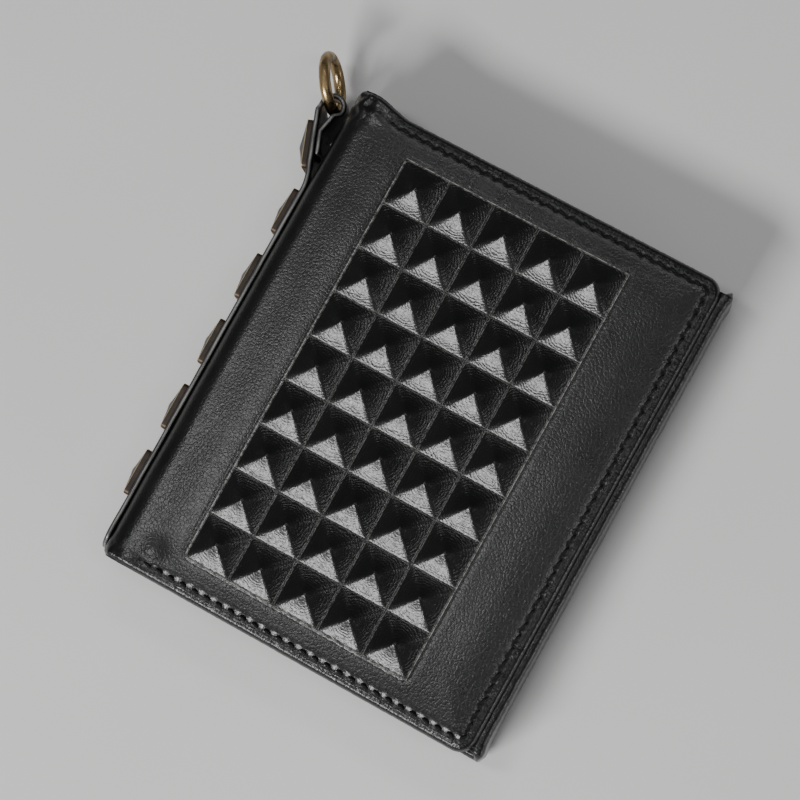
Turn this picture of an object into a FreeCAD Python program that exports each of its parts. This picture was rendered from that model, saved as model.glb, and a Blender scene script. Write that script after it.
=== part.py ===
import FreeCAD, Part
import math
import os
import Sketcher

# A vertical bifold chain wallet, lying closed on its back.  Millimetres.
# Origin: centre of the back cover's resting face.  +X runs from the spine to the open side,
# +Y along the spine towards the chain ring, +Z through the thickness.

DRIVING = [
    # outline of the closed wallet
    ("cover_width", 91.0),
    ("cover_height", 115.0),
    ("closed_thickness", 20.0),
    ("leather", 1.6),
    ("fold_radius", 5.0),
    ("front_corner_radius", 4.0),
    # embossed pyramids on the front cover
    ("relief_pitch", 11.0),
    ("relief_columns", 5),
    ("relief_rows", 9),
    ("relief_height", 3.1),
    ("relief_crease", 0.2),
    ("relief_apex", 0.8),
    ("relief_left_margin", 17.4),
    ("former_rise", 2.325),
    ("former_gap", 0.5),
    # stitch line round the covers
    ("stitch_pitch", 3.0),
    ("stitch_length", 2.3),
    ("stitch_slant", 0.5),
    ("thread", 0.7),
    ("stitch_inset", 2.6),
    ("groove_width", 1.5),
    ("groove_depth", 0.45),
    ("thread_height", 0.35),
    # rolled free edge of the back part
    ("roll_overhang", 2.0),
    ("roll_width", 3.4),
    ("roll_height", 13.0),
    ("roll_knob", 4.0),
    ("roll_end_gap", 1.0),
    ("roll_rounding", 1.43),
    ("knob_swell", 0.3),
    # inner layers
    ("board", 1.0),
    ("lining", 0.6),
    ("note_gap", 1.0),
    ("panel", 0.8),
    ("fold_clearance", 8.0),
    ("panel_inset", 0.9),
    ("board_inset", 5.0),
    ("card_slips", 4),
    ("card_step", 13.0),
    ("card_mouth", 34.0),
    ("slip_inset", 0.6),
    ("hem_width", 2.6),
    # zipped coin pocket
    ("coin_depth", 3.4),
    ("coin_margin", 6.5),
    ("gusset", 2.0),
    ("zip_line", -24.0),
    ("zip_slot", 5.6),
    ("tape", 0.5),
    ("tape_width", 9.0),
    ("tooth_pitch", 2.0),
    ("tooth_length", 1.5),
    ("tooth_width", 0.9),
    ("tooth_height", 1.4),
    ("tooth_gap", 0.9),
    ("slider_length", 8.0),
    ("slider_width", 4.8),
    ("slider_plate", 0.6),
    ("slider_play", 0.15),
    ("pull_length", 12.0),
    ("pull_width", 3.2),
    ("pull_thickness", 0.6),
    ("pull_lift", 0.15),
    ("pull_corner", 1.12),
    ("pull_slot_width", 1.6),
    ("pull_slot_length", 2.6),
    ("post_gap", 0.15),
    ("bridge_width", 1.0),
    ("bridge_length", 5.0),
    ("bridge_foot", 1.0),
    ("bridge_room", 0.5),
    ("bridge_deck", 0.5),
    ("zip_end_gap", 2.0),
    # studded strap on the spine
    ("strap", 1.2),
    ("strap_width", 13.0),
    ("strap_end_radius", 4.0),
    ("strap_end_gap", 1.0),
    ("shoulder_start", 17.5),
    ("shoulder_length", 2.5),
    ("stud_base", 11.0),
    ("stud_pitch", 16.5),
    ("stud_count", 6),
    ("stud_skirt", 1.4),
    ("stud_rise", 2.0),
    ("stud_apex", 0.6),
    ("stud_wall", 0.8),
    ("stud_lowest", -38.5),
    ("prong_width", 1.8),
    ("prong_thickness", 0.5),
    ("prong_depth", 2.7),
    # end loop of the strap and the ring in it
    ("loop_bend", 21.0),
    ("bend_start", 33.2),
    ("bend_radius", 12.0),
    ("loop_width", 5.0),
    ("loop_merge", 9.4),
    ("loop_tail_start", 4.0),
    ("ply_gap", 0.1),
    ("loop_stitch_pitch", 1.6),
    ("loop_stitch_inset", 1.2),
    ("loop_length", 6.6),
    ("loop_radius", 2.55),
    ("ring_outer", 15.0),
    ("ring_wire", 2.4),
    ("ring_swing", 33.0),
    ("ring_lean", 8.0),
    ("ring_drop", 0.65),
    ("ring_aside", 0.15),
]

DERIVED = [
    ("spine_x", "=-cover_width / 2"),
    ("edge_x", "=cover_width / 2"),
    ("top_y", "=cover_height / 2"),
    ("inner_x", "=spine_x + fold_clearance"),
    ("panel_x", "=edge_x - panel_inset"),
    ("panel_y", "=top_y - panel_inset"),
    ("board_x", "=edge_x - board_inset"),
    ("board_y", "=top_y - board_inset"),
    ("roll_x", "=edge_x + roll_overhang - roll_width"),
    ("back_board_z", "=leather"),
    ("back_lining_z", "=back_board_z + board"),
    ("back_panel_z", "=back_lining_z + lining + note_gap"),
    ("coin_z", "=back_panel_z + panel"),
    ("coin_top_z", "=coin_z + coin_depth"),
    ("tape_z", "=coin_top_z - tape"),
    ("tooth_z", "=tape_z + tape / 2 - tooth_height / 2"),
    ("tooth_top_z", "=tooth_z + tooth_height"),
    ("front_z", "=closed_thickness - leather"),
    ("front_board_z", "=front_z - board"),
    ("front_lining_z", "=front_board_z - lining"),
    ("front_panel_z", "=front_lining_z - note_gap - panel"),
    ("relief_x", "=spine_x + relief_left_margin + relief_pitch / 2"),
    ("relief_y", "=-relief_pitch * (relief_rows - 1) / 2"),
    ("coin_x", "=panel_x - coin_margin"),
    ("coin_y", "=panel_y - coin_margin"),
    ("slider_y", "=coin_y - gusset - slider_length / 2 - 1"),
    ("strap_x", "=spine_x - strap"),
    ("spine_inner_x", "=spine_x + leather"),
    ("fold_x", "=spine_x + fold_radius"),
    ("upper_fold_z", "=closed_thickness - fold_radius"),
    ("relief_edge_x", "=spine_x + relief_left_margin"),
    ("relief_end_x", "=relief_edge_x + relief_pitch * relief_columns"),
    ("relief_end_y", "=relief_pitch * relief_rows / 2"),
    ("slider_top_z", "=tooth_top_z + slider_play + slider_plate"),
    ("middle_z", "=closed_thickness / 2"),
]

doc = FreeCAD.newDocument("chain_wallet")
sheet = doc.addObject("Spreadsheet::Sheet", "Sizes")


def fill_sheet():
    """Writes each dimension in column B with its name as the alias; worked-out ones come last."""
    for row, (name, value) in enumerate(DRIVING, start=1):
        sheet.set("A%d" % row, name)
        sheet.set("B%d" % row, str(value))
        sheet.setAlias("B%d" % row, name)
    for row, (name, formula) in enumerate(DERIVED, start=len(DRIVING) + 2):
        sheet.set("A%d" % row, name)
        sheet.set("B%d" % row, formula)
        sheet.setAlias("B%d" % row, name)
    doc.recompute()


fill_sheet()


def size(name):
    """The value of one named cell."""
    return float(sheet.get(name))


def linked(text):
    """Turns the cell names in a formula into references to the sheet."""
    out = []
    word = ""
    for letter in text + " ":
        if letter.isalnum() or letter == "_":
            word += letter
            continue
        out.append("Sizes." + word if word in NAMES else word)
        word = ""
        out.append(letter)
    return "".join(out).strip()


NAMES = [name for name, _ in DRIVING + DERIVED]


def new_body(node):
    """An empty body whose label is the name of its file."""
    body = doc.addObject("PartDesign::Body", "Body_" + node)
    body.Label = node
    return body


def origin_part(body, role):
    """One of the body's own origin planes or axes."""
    return [item for item in body.Origin.OriginFeatures if item.Role == role][0]


def polygon(body, name, plane, offset, corners):
    """A closed outline on one of the body's planes.

    corners are pairs of formulas; offset is the formula of the height above that plane."""
    sketch = body.newObject("Sketcher::SketchObject", name)
    sketch.AttachmentSupport = [(origin_part(body, plane), "")]
    sketch.MapMode = "FlatFace"
    sketch.setExpression("AttachmentOffset.Base.z", linked(offset))
    formulas = [(linked(a), linked(b)) for a, b in corners]
    values = [(float(sketch.evalExpression(a)), float(sketch.evalExpression(b))) for a, b in formulas]
    points = [FreeCAD.Vector(a, b, 0) for a, b in values]
    last = len(points)
    for i in range(last):
        sketch.addGeometry(Part.LineSegment(points[i], points[(i + 1) % last]), False)
    for i in range(last):
        sketch.addConstraint(Sketcher.Constraint("Coincident", i, 2, (i + 1) % last, 1))
    for i in range(last):
        for kind, value, formula in (
            ("DistanceX", values[i][0], formulas[i][0]),
            ("DistanceY", values[i][1], formulas[i][1]),
        ):
            number = sketch.addConstraint(Sketcher.Constraint(kind, -1, 1, i, 1, value))
            sketch.setExpression("Constraints[%d]" % number, formula)
    doc.recompute()
    return sketch


def rectangle(x0, x1, y0, y1):
    """The four corners of a rectangle, as formulas."""
    return [(x0, y0), (x1, y0), (x1, y1), (x0, y1)]


def block(body, name, xs, ys, z0, height):
    """Pads a rectangle upwards from the height z0."""
    outline = polygon(body, name + "_outline", "XY_Plane", z0, rectangle(xs[0], xs[1], ys[0], ys[1]))
    pad = body.newObject("PartDesign::Pad", name)
    pad.Profile = outline
    pad.setExpression("Length", linked(height))
    doc.recompute()
    return pad


def recess(body, name, corners, z0, depth):
    """Cuts an outline downwards from the height z0."""
    outline = polygon(body, name + "_outline", "XY_Plane", z0, corners)
    before = body.Shape.Volume
    cut = body.newObject("PartDesign::Pocket", name)
    cut.Profile = outline
    cut.setExpression("Length", linked(depth))
    doc.recompute()
    if body.Shape.Volume > before - 0.01:
        raise RuntimeError(name + " cuts nothing")
    return cut


def sheet_piece(node, xs, ys, z0, height):
    """A flat rectangular piece in a body of its own."""
    body = new_body(node)
    block(body, node + "_sheet", xs, ys, z0, height)
    return body


def edges_along(shape, direction, test):
    """Names of the straight edges that run along a direction and pass a test of their middle."""
    found = []
    for number, edge in enumerate(shape.Edges, start=1):
        ends = [vertex.Point for vertex in edge.Vertexes]
        if len(ends) != 2:
            continue
        run = ends[1] - ends[0]
        if run.cross(direction).Length > 1e-6:
            continue
        if test((ends[0] + ends[1]) * 0.5):
            found.append("Edge%d" % number)
    return found


def round_edges(body, name, direction, radius, test):
    """Rounds the edges of the body's tip that run along a direction and pass a test."""
    base = body.Tip
    names = edges_along(base.Shape, direction, test)
    if not names:
        raise RuntimeError(name + " finds no edge")
    fillet = body.newObject("PartDesign::Fillet", name)
    fillet.Base = (base, names)
    fillet.setExpression("Radius", linked(radius))
    doc.recompute()
    return fillet


ALONG_X = FreeCAD.Vector(1, 0, 0)
ALONG_Y = FreeCAD.Vector(0, 1, 0)
ALONG_Z = FreeCAD.Vector(0, 0, 1)


def rolled(body, name, outline, along_y, centre, reversed_turn):
    """Rolls a section of the leather through 45 degrees round a fold's centre line.

    The centre line is a construction line of the sketch, at the cell named centre."""
    reach = size("top_y")
    place = size(centre)
    if along_y:
        ends = (FreeCAD.Vector(place, -reach, 0), FreeCAD.Vector(place, reach, 0))
        direction, distance = "Vertical", "DistanceX"
    else:
        ends = (FreeCAD.Vector(-reach, place, 0), FreeCAD.Vector(reach, place, 0))
        direction, distance = "Horizontal", "DistanceY"
    line = outline.addGeometry(Part.LineSegment(*ends), True)
    outline.addConstraint(Sketcher.Constraint(direction, line))
    number = outline.addConstraint(Sketcher.Constraint(distance, -1, 1, line, 1, place))
    outline.setExpression("Constraints[%d]" % number, linked(centre))
    doc.recompute()
    turn = body.newObject("PartDesign::Revolution", name)
    turn.Profile = outline
    turn.ReferenceAxis = (outline, ["Axis0"])
    turn.Angle = 45
    turn.Reversed = reversed_turn
    doc.recompute()
    return turn


def turn_fold(body, name, plane_z, wall, centre, reversed_turn):
    """The half of a fold that belongs to a cover."""
    corners = [("-top_y", plane_z), ("top_y", plane_z), ("top_y", wall), ("-top_y", wall)]
    outline = polygon(body, name + "_section", "YZ_Plane", "fold_x", corners)
    return rolled(body, name, outline, False, centre, reversed_turn)


def half_fold(body, name, height, reversed_turn):
    """The half of a fold that belongs to the spine."""
    corners = rectangle("spine_x", "spine_inner_x", "-top_y", "top_y")
    outline = polygon(body, name + "_section", "XY_Plane", height, corners)
    return rolled(body, name, outline, True, "fold_x", reversed_turn)


def stitch_groove(body, name, top, depth):
    """The groove that the stitches sink into: along the top, the open side and the bottom."""
    outer = "(stitch_inset - groove_width / 2)"
    inner = "(stitch_inset + groove_width / 2)"
    start = "spine_x + fold_clearance"
    corners = [
        (start, "-top_y + " + outer),
        ("edge_x - " + outer, "-top_y + " + outer),
        ("edge_x - " + outer, "top_y - " + outer),
        (start, "top_y - " + outer),
        (start, "top_y - " + inner),
        ("edge_x - " + inner, "top_y - " + inner),
        ("edge_x - " + inner, "-top_y + " + inner),
        (start, "-top_y + " + inner),
    ]
    return recess(body, name, corners, top, depth)


def repeat(body, name, feature, axis, count, run):
    """Repeats one feature along an origin axis; run is the formula of the whole distance."""
    pattern = body.newObject("PartDesign::LinearPattern", name)
    pattern.Originals = [feature]
    pattern.Direction = (origin_part(body, axis), [""])
    pattern.Occurrences = count
    pattern.setExpression("Length", linked(run))
    body.Tip = pattern
    doc.recompute()
    return pattern


def stitching(node, z0):
    """Slanted stitches along three sides of a cover, sunk in its groove."""
    body = new_body(node)
    body.AllowCompound = True
    pitch = size("stitch_pitch")
    start_x = size("inner_x") + 1.5
    corner = size("edge_x") - size("stitch_inset")
    across = int((corner - 2.0 - start_x - size("stitch_length")) / pitch)
    along = int((size("cover_height") - 2 * size("stitch_inset") - 5.0) / pitch)
    half = "stitch_length / 2"
    lean = "stitch_slant / 2"
    wide = "thread / 2"
    for side, line in (("bottom", "-top_y + stitch_inset"), ("top", "top_y - stitch_inset")):
        middle = "inner_x + 1.5 + stitch_length / 2"
        corners = [
            (middle + " - " + half, line + " - " + lean + " - " + wide + " / 2"),
            (middle + " + " + half, line + " + " + lean + " - " + wide),
            (middle + " + " + half, line + " + " + lean + " + " + wide + " / 2"),
            (middle + " - " + half, line + " - " + lean + " + " + wide),
        ]
        outline = polygon(body, side + "_stitch_outline", "XY_Plane", z0, corners)
        pad = body.newObject("PartDesign::Pad", side + "_stitch")
        pad.Profile = outline
        pad.setExpression("Length", linked("thread_height"))
        doc.recompute()
        repeat(body, side + "_run", pad, "X_Axis", across + 1, "%d * stitch_pitch" % across)
    line = "edge_x - stitch_inset"
    middle = "-%d * stitch_pitch / 2" % along
    corners = [
        (line + " - " + lean + " - " + wide + " / 2", middle + " + " + half),
        (line + " + " + lean + " - " + wide, middle + " - " + half),
        (line + " + " + lean + " + " + wide + " / 2", middle + " - " + half),
        (line + " - " + lean + " + " + wide, middle + " + " + half),
    ]
    outline = polygon(body, "side_stitch_outline", "XY_Plane", z0, corners)
    pad = body.newObject("PartDesign::Pad", "side_stitch")
    pad.Profile = outline
    pad.setExpression("Length", linked("thread_height"))
    doc.recompute()
    repeat(body, "side_run", pad, "Y_Axis", along + 1, "%d * stitch_pitch" % along)
    return body


def back_cover():
    """Outer leather of the back, with half of the lower fold."""
    body = new_body("back_cover")
    whole_x = ("fold_x", "edge_x + roll_overhang")
    block(body, "back_sheet", whole_x, ("-top_y", "top_y"), "0", "leather")
    turn_fold(body, "lower_fold", "0", "leather", "fold_radius", False)
    stitch_groove(body, "back_groove", "groove_depth", "groove_depth")
    return body


def back_edge_roll():
    """The open side's leather turned over a filler and sewn down, with a folded knob at each end."""
    body = new_body("back_edge_roll")
    between = ("-top_y + roll_end_gap", "top_y - roll_end_gap")
    block(body, "roll", ("roll_x", "roll_x + roll_width"), between, "leather", "roll_height")
    middle_x = size("roll_x") + size("roll_width") / 2
    middle_z = size("leather") + size("roll_height") / 2
    round_edges(
        body, "roll_round", ALONG_Y, "roll_rounding", lambda p: p.x > middle_x or p.z > middle_z
    )
    for side, low, high in (
        ("lower", "-top_y", "-top_y + roll_knob"),
        ("upper", "top_y - roll_knob", "top_y"),
    ):
        block(
            body,
            side + "_knob",
            ("roll_x", "roll_x + roll_width + knob_swell"),
            (low, high),
            "leather",
            "roll_height + knob_swell",
        )
    return body


def front_cover():
    """Outer leather of the front, with half of the upper fold and the embossed pyramids."""
    body = new_body("front_cover")
    block(body, "front_sheet", ("fold_x", "edge_x"), ("-top_y", "top_y"), "front_z", "leather")
    round_edges(body, "front_corners", ALONG_Z, "front_corner_radius", lambda p: p.x > 0)
    turn_fold(body, "upper_fold", "front_z", "closed_thickness", "upper_fold_z", True)
    stitch_groove(body, "front_groove", "closed_thickness", "groove_depth")
    outer_foot = "relief_pitch - relief_crease"
    inner_foot = outer_foot + " - leather"
    pyramid(body, "emboss", "closed_thickness", outer_foot, "relief_height", True)
    pyramid(body, "emboss_back", "front_z", inner_foot, "former_rise", False)
    return body


def pyramid(body, name, z0, base, rise, additive):
    """A field of square pyramids in columns and rows, added to the body or cut out of it."""
    feet = []
    for end, height, width in (("foot", z0, base), ("tip", z0 + " + " + rise, "relief_apex")):
        reach = "(" + width + ") / 2"
        corners = rectangle(
            "relief_x - " + reach, "relief_x + " + reach, "relief_y - " + reach, "relief_y + " + reach
        )
        feet.append(polygon(body, name + "_" + end, "XY_Plane", height, corners))
    kind = "PartDesign::AdditiveLoft" if additive else "PartDesign::SubtractiveLoft"
    loft = body.newObject(kind, name + "_pyramid")
    loft.Profile = feet[0]
    loft.Sections = [feet[1]]
    loft.Ruled = True
    doc.recompute()
    field = body.newObject("PartDesign::MultiTransform", name + "_field")
    field.Originals = [loft]
    steps = []
    for label, axis, number in (
        ("columns", "X_Axis", "relief_columns"),
        ("rows", "Y_Axis", "relief_rows"),
    ):
        step = body.newObject("PartDesign::LinearPattern", name + "_" + label)
        step.Direction = (origin_part(body, axis), [""])
        step.Occurrences = int(size(number))
        step.setExpression("Length", linked("relief_pitch * (" + number + " - 1)"))
        steps.append(step)
    field.Transformations = steps
    body.Tip = field
    doc.recompute()
    return field


def relief_insert():
    """The moulded former that keeps the leather's pyramids up."""
    body = new_body("relief_insert")
    block(
        body,
        "former_sheet",
        ("relief_edge_x", "relief_end_x"),
        ("-relief_end_y", "relief_end_y"),
        "front_board_z",
        "board",
    )
    pyramid(body, "former", "front_z", "relief_pitch - relief_crease - leather", "former_rise", True)
    return body


def front_board():
    """Stiffening board of the front, cut out round the former."""
    inset = ("-board_y", "board_y")
    body = sheet_piece("front_board", ("inner_x", "board_x"), inset, "front_board_z", "board")
    corners = rectangle(
        "relief_edge_x - former_gap",
        "relief_end_x + former_gap",
        "-relief_end_y - former_gap",
        "relief_end_y + former_gap",
    )
    recess(body, "former_window", corners, "front_z", "board")
    return body


def spine_leather():
    """The leather of the spine, with the other half of each fold."""
    body = new_body("spine_leather")
    outline = polygon(
        body,
        "spine_outline",
        "YZ_Plane",
        "spine_x",
        rectangle("-top_y", "top_y", "fold_radius", "upper_fold_z"),
    )
    pad = body.newObject("PartDesign::Pad", "spine_sheet")
    pad.Profile = outline
    pad.setExpression("Length", linked("leather"))
    doc.recompute()
    for side, height, reversed_turn in (
        ("lower", "fold_radius", True),
        ("upper", "upper_fold_z", False),
    ):
        half_fold(body, side + "_half_fold", height, reversed_turn)
    prong_slots(body)
    return body


def prong_slots(body):
    """Slots in the spine's leather for the prongs of the studs below the strap's bend."""
    straight = int(size("stud_count")) - 1
    reach = "(stud_base / 2 - stud_wall)"
    wide = "prong_width / 2"
    thick = "prong_thickness / 2"
    for side, sign in (("lower", "-"), ("upper", "+")):
        line = "middle_z " + sign + " " + reach
        corners = rectangle(
            "stud_lowest - " + wide, "stud_lowest + " + wide, line + " - " + thick, line + " + " + thick
        )
        outline = polygon(body, side + "_slot_outline", "YZ_Plane", "spine_x", corners)
        slot = body.newObject("PartDesign::Pocket", side + "_slot")
        slot.Profile = outline
        slot.Reversed = True
        slot.setExpression("Length", linked("prong_depth - strap"))
        doc.recompute()
        repeat(body, side + "_slots", slot, "Y_Axis", straight, "%d * stud_pitch" % (straight - 1))


def plain_piece(node, shape):
    """A piece whose form is a swept or bent outline, worked out from the sheet."""
    item = doc.addObject("Part::Feature", "Piece_" + node)
    item.Label = node
    item.Shape = shape
    item.Placement = FreeCAD.Placement()
    return item


def bent_axis():
    """Start of the strap's outward bend, its direction after the bend, and the end of the bend."""
    middle_x = size("spine_x") - size("strap") / 2
    angle = math.radians(size("loop_bend"))
    radius = size("bend_radius")
    start = FreeCAD.Vector(middle_x, size("bend_start"), 0)
    along = FreeCAD.Vector(-math.sin(angle), math.cos(angle), 0)
    end = start + FreeCAD.Vector(-radius * (1 - math.cos(angle)), radius * math.sin(angle), 0)
    return start, along, end


def loop_frame():
    """Centre of the end loop's round part, and the directions along and across the loop."""
    _, along, end = bent_axis()
    inward = FreeCAD.Vector(along.y, -along.x, 0)
    reach = size("loop_merge") + size("loop_length")
    centre = end + along * reach + inward * size("loop_radius")
    return centre, along, inward


def strap_line():
    """Centre line of the strap: up the spine, outwards, round the loop and back on itself."""
    start, along, end = bent_axis()
    centre, _, inward = loop_frame()
    radius = size("loop_radius")
    angle = math.radians(size("loop_bend"))
    bend_centre = start - FreeCAD.Vector(size("bend_radius"), 0, 0)
    half_way = FreeCAD.Vector(math.cos(angle / 2), math.sin(angle / 2), 0)
    bend_middle = bend_centre + half_way * size("bend_radius")
    tip = FreeCAD.Vector(start.x, size("strap_end_gap") - size("top_y"), 0)
    # the returning layer lies against the strap up to the foot, then runs at a tangent to the round
    foot = end + along * size("loop_merge") + inward * (size("strap") + size("ply_gap"))
    to_centre = centre - foot
    base = math.atan2(to_centre.dot(inward), to_centre.dot(along))
    slope = base + math.asin(radius / to_centre.Length)
    tangent = along * math.cos(slope) + inward * math.sin(slope)
    touch = foot + tangent * math.sqrt(to_centre.Length**2 - radius**2)
    tail = foot - along * (size("loop_merge") - size("loop_tail_start"))
    outer_end = centre - inward * radius
    return [
        Part.LineSegment(tip, start).toShape(),
        Part.Arc(start, bend_middle, end).toShape(),
        Part.LineSegment(end, outer_end).toShape(),
        Part.Arc(outer_end, centre + along * radius, touch).toShape(),
        Part.LineSegment(touch, foot).toShape(),
        Part.LineSegment(foot, tail).toShape(),
    ]


def strap_profile():
    """The strap seen from the spine's side: rounded lower end, shoulders and a narrow loop."""
    radius = size("strap_end_radius")
    low = size("strap_end_gap") - size("top_y")
    shoulder = size("bend_start") + size("shoulder_start")
    neck = shoulder + size("shoulder_length")
    top = size("top_y") + size("ring_outer")
    half = size("strap_width") / 2
    slim = size("loop_width") / 2
    bend = radius * (1 - math.sqrt(0.5))

    def at(y, z):
        return FreeCAD.Vector(-size("cover_width"), y, size("middle_z") + z)

    lower = (at(low + radius, -half), at(low + bend, -half + bend), at(low, -half + radius))
    upper = (at(low, half - radius), at(low + bend, half - bend), at(low + radius, half))
    outline = [at(low + radius, half), at(shoulder, half), at(neck, slim), at(top, slim)]
    outline += [at(top, -slim), at(neck, -slim), at(shoulder, -half), at(low + radius, -half)]
    sides = [Part.Arc(*lower).toShape()]
    sides.append(Part.LineSegment(lower[2], upper[0]).toShape())
    sides.append(Part.Arc(*upper).toShape())
    sides += [Part.LineSegment(*ends).toShape() for ends in zip(outline, outline[1:])]
    return Part.Face(Part.Wire(sides))


def spine_strap():
    """The strap on the spine, narrowed towards its end loop and slotted for the studs' prongs."""
    outline = Part.Wire(strap_line()).makeOffset2D(size("strap") / 2, 0, False, False)
    wide = size("strap_width")
    slab = Part.Face(outline).extrude(FreeCAD.Vector(0, 0, wide))
    slab.translate(FreeCAD.Vector(0, 0, size("middle_z") - wide / 2))
    profile = strap_profile().extrude(FreeCAD.Vector(size("cover_width"), 0, 0))
    strap = slab.common(profile).Solids[0]
    for number in range(int(size("stud_count"))):
        strap = strap.cut(stud_prongs(number))
    return plain_piece("spine_strap", strap)


def stud_place(number):
    """Where stud number sits: on the strap's outer face, the last one on the bent end."""
    along_strap = size("stud_lowest") + number * size("stud_pitch")
    angle = math.radians(size("loop_bend"))
    arc = angle * size("bend_radius")
    past_bend = along_strap - size("bend_start") - arc
    if past_bend < 0:
        base = FreeCAD.Vector(size("strap_x"), along_strap, size("middle_z"))
        return base, 0.0
    _, along, end = bent_axis()
    outward = FreeCAD.Vector(-along.y, along.x, 0)
    base = end + along * past_bend + outward * (size("strap") / 2)
    base.z = size("middle_z")
    return base, size("loop_bend")


def stud_prongs(number):
    """The two flat prongs of one stud, standing inwards from the strap's outer face."""
    base, tilt = stud_place(number)
    wide = size("prong_width")
    thick = size("prong_thickness")
    reach = size("stud_base") / 2 - size("stud_wall")
    depth = size("prong_depth") if tilt == 0 else size("strap")
    prongs = []
    for side in (-1, 1):
        prong = Part.makeBox(depth, wide, thick)
        prong.translate(FreeCAD.Vector(0, -wide / 2, side * reach - thick / 2))
        prongs.append(prong)
    both = Part.makeCompound(prongs)
    both.rotate(FreeCAD.Vector(0, 0, 0), ALONG_Z, tilt)
    both.translate(base)
    return both


def square(width, distance):
    """A square outline facing outwards at a distance from the strap's outer face."""
    half = width / 2
    x = -distance
    corners = [(-half, -half), (half, -half), (half, half), (-half, half), (-half, -half)]
    return Part.makePolygon([FreeCAD.Vector(x, y, z) for y, z in corners])


def spine_stud(number):
    """A hollow pyramid stud: skirt, four faces, blunt apex and two prongs."""
    base, tilt = stud_place(number)
    width = size("stud_base")
    skirt = size("stud_skirt")
    rise = size("stud_rise")
    wall = size("stud_wall")
    apex = size("stud_apex")
    outer = Part.makeBox(skirt, width, width, FreeCAD.Vector(-skirt, -width / 2, -width / 2))
    outer = outer.fuse(Part.makeLoft([square(width, skirt), square(apex, skirt + rise)], True))
    hollow = width - 2 * wall
    depth = skirt - wall / 2
    corner = FreeCAD.Vector(-depth, -hollow / 2, -hollow / 2)
    inner = Part.makeBox(depth, hollow, hollow, corner)
    inner = inner.fuse(Part.makeLoft([square(hollow, depth), square(apex, skirt + rise - wall)], True))
    shell = outer.cut(inner)
    shell.rotate(FreeCAD.Vector(0, 0, 0), ALONG_Z, tilt)
    shell.translate(base)
    shell = shell.fuse(stud_prongs(number)).removeSplitter()
    return plain_piece("spine_stud_%d" % (int(size("stud_count")) - number), shell)


def loop_stitches():
    """The thread that closes the loop: a row of stitches through both layers."""
    _, along, end = bent_axis()
    inward = FreeCAD.Vector(along.y, -along.x, 0)
    count = 3
    radius = size("thread") / 2
    depth = 2 * size("strap") + size("ply_gap")
    near = size("loop_merge") - size("loop_stitch_inset")
    pieces = []
    for row in range(count):
        foot = end + along * near - inward * (size("strap") / 2)
        foot.z = size("middle_z") + (row - (count - 1) / 2) * size("loop_stitch_pitch")
        pieces.append(Part.makeCylinder(radius, depth, foot, inward))
    return pieces


def loop_thread(strap):
    """The loop's stitches, and the holes they need in the strap."""
    stitches = loop_stitches()
    cut = strap.Shape
    for stitch in stitches:
        cut = cut.cut(stitch)
    strap.Shape = cut
    return plain_piece("loop_thread", Part.makeCompound(stitches))


def chain_ring():
    """The round ring in the strap's loop; it stands nearly upright, across the wallet's thickness."""
    radius = (size("ring_outer") - size("ring_wire")) / 2
    swing = math.radians(size("ring_swing"))
    lean = math.radians(size("ring_lean"))
    outward = FreeCAD.Vector(-math.sin(swing), math.cos(swing), 0)
    sideways = FreeCAD.Vector(-math.cos(swing), -math.sin(swing), 0)
    upward = ALONG_Z * math.cos(lean) + sideways * math.sin(lean)
    ring = doc.addObject("Part::Torus", "Ring")
    ring.setExpression("Radius1", linked("(ring_outer - ring_wire) / 2"))
    ring.setExpression("Radius2", linked("ring_wire / 2"))
    ring.Label = "chain_ring"
    ring.Placement = FreeCAD.Placement(
        ring_pin() + outward * radius, FreeCAD.Rotation(ALONG_Z, outward.cross(upward))
    )
    return ring


def ring_pin():
    """Where the ring's wire passes through the loop, just clear of the loop's round end."""
    centre, along, inward = loop_frame()
    pin = centre - along * size("ring_drop") + inward * size("ring_aside")
    pin.z = size("middle_z")
    return pin


def zip_tapes_and_teeth():
    """Two tapes under the pocket's panels, each with a beaded edge and its row of metal teeth."""
    opening = 2 * (size("coin_y") - size("gusset") - size("zip_end_gap"))
    count = int(opening / size("tooth_pitch"))
    reach = "coin_y - gusset"
    for side, sign in (("left", "-"), ("right", "+")):
        near = "zip_line " + sign + " (tooth_gap / 2 + tooth_length)"
        far = "zip_line " + sign + " (tooth_gap / 2 + tooth_length + tape_width)"
        xs = (far, near) if side == "left" else (near, far)
        sheet_piece("zip_tape_" + side, xs, ("-(" + reach + ")", reach), "tape_z", "tape")
        body = new_body("zip_teeth_" + side)
        body.AllowCompound = True
        inner = "zip_line " + sign + " tooth_gap / 2"
        xs = (near, inner) if side == "left" else (inner, near)
        first = "-(" + str(count) + " * tooth_pitch / 2)"
        ys = (first + " - tooth_width / 2", first + " + tooth_width / 2")
        tooth = block(body, "tooth", xs, ys, "tooth_z", "tooth_height")
        repeat(body, "teeth", tooth, "Y_Axis", count + 1, "%d * tooth_pitch" % count)


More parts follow.
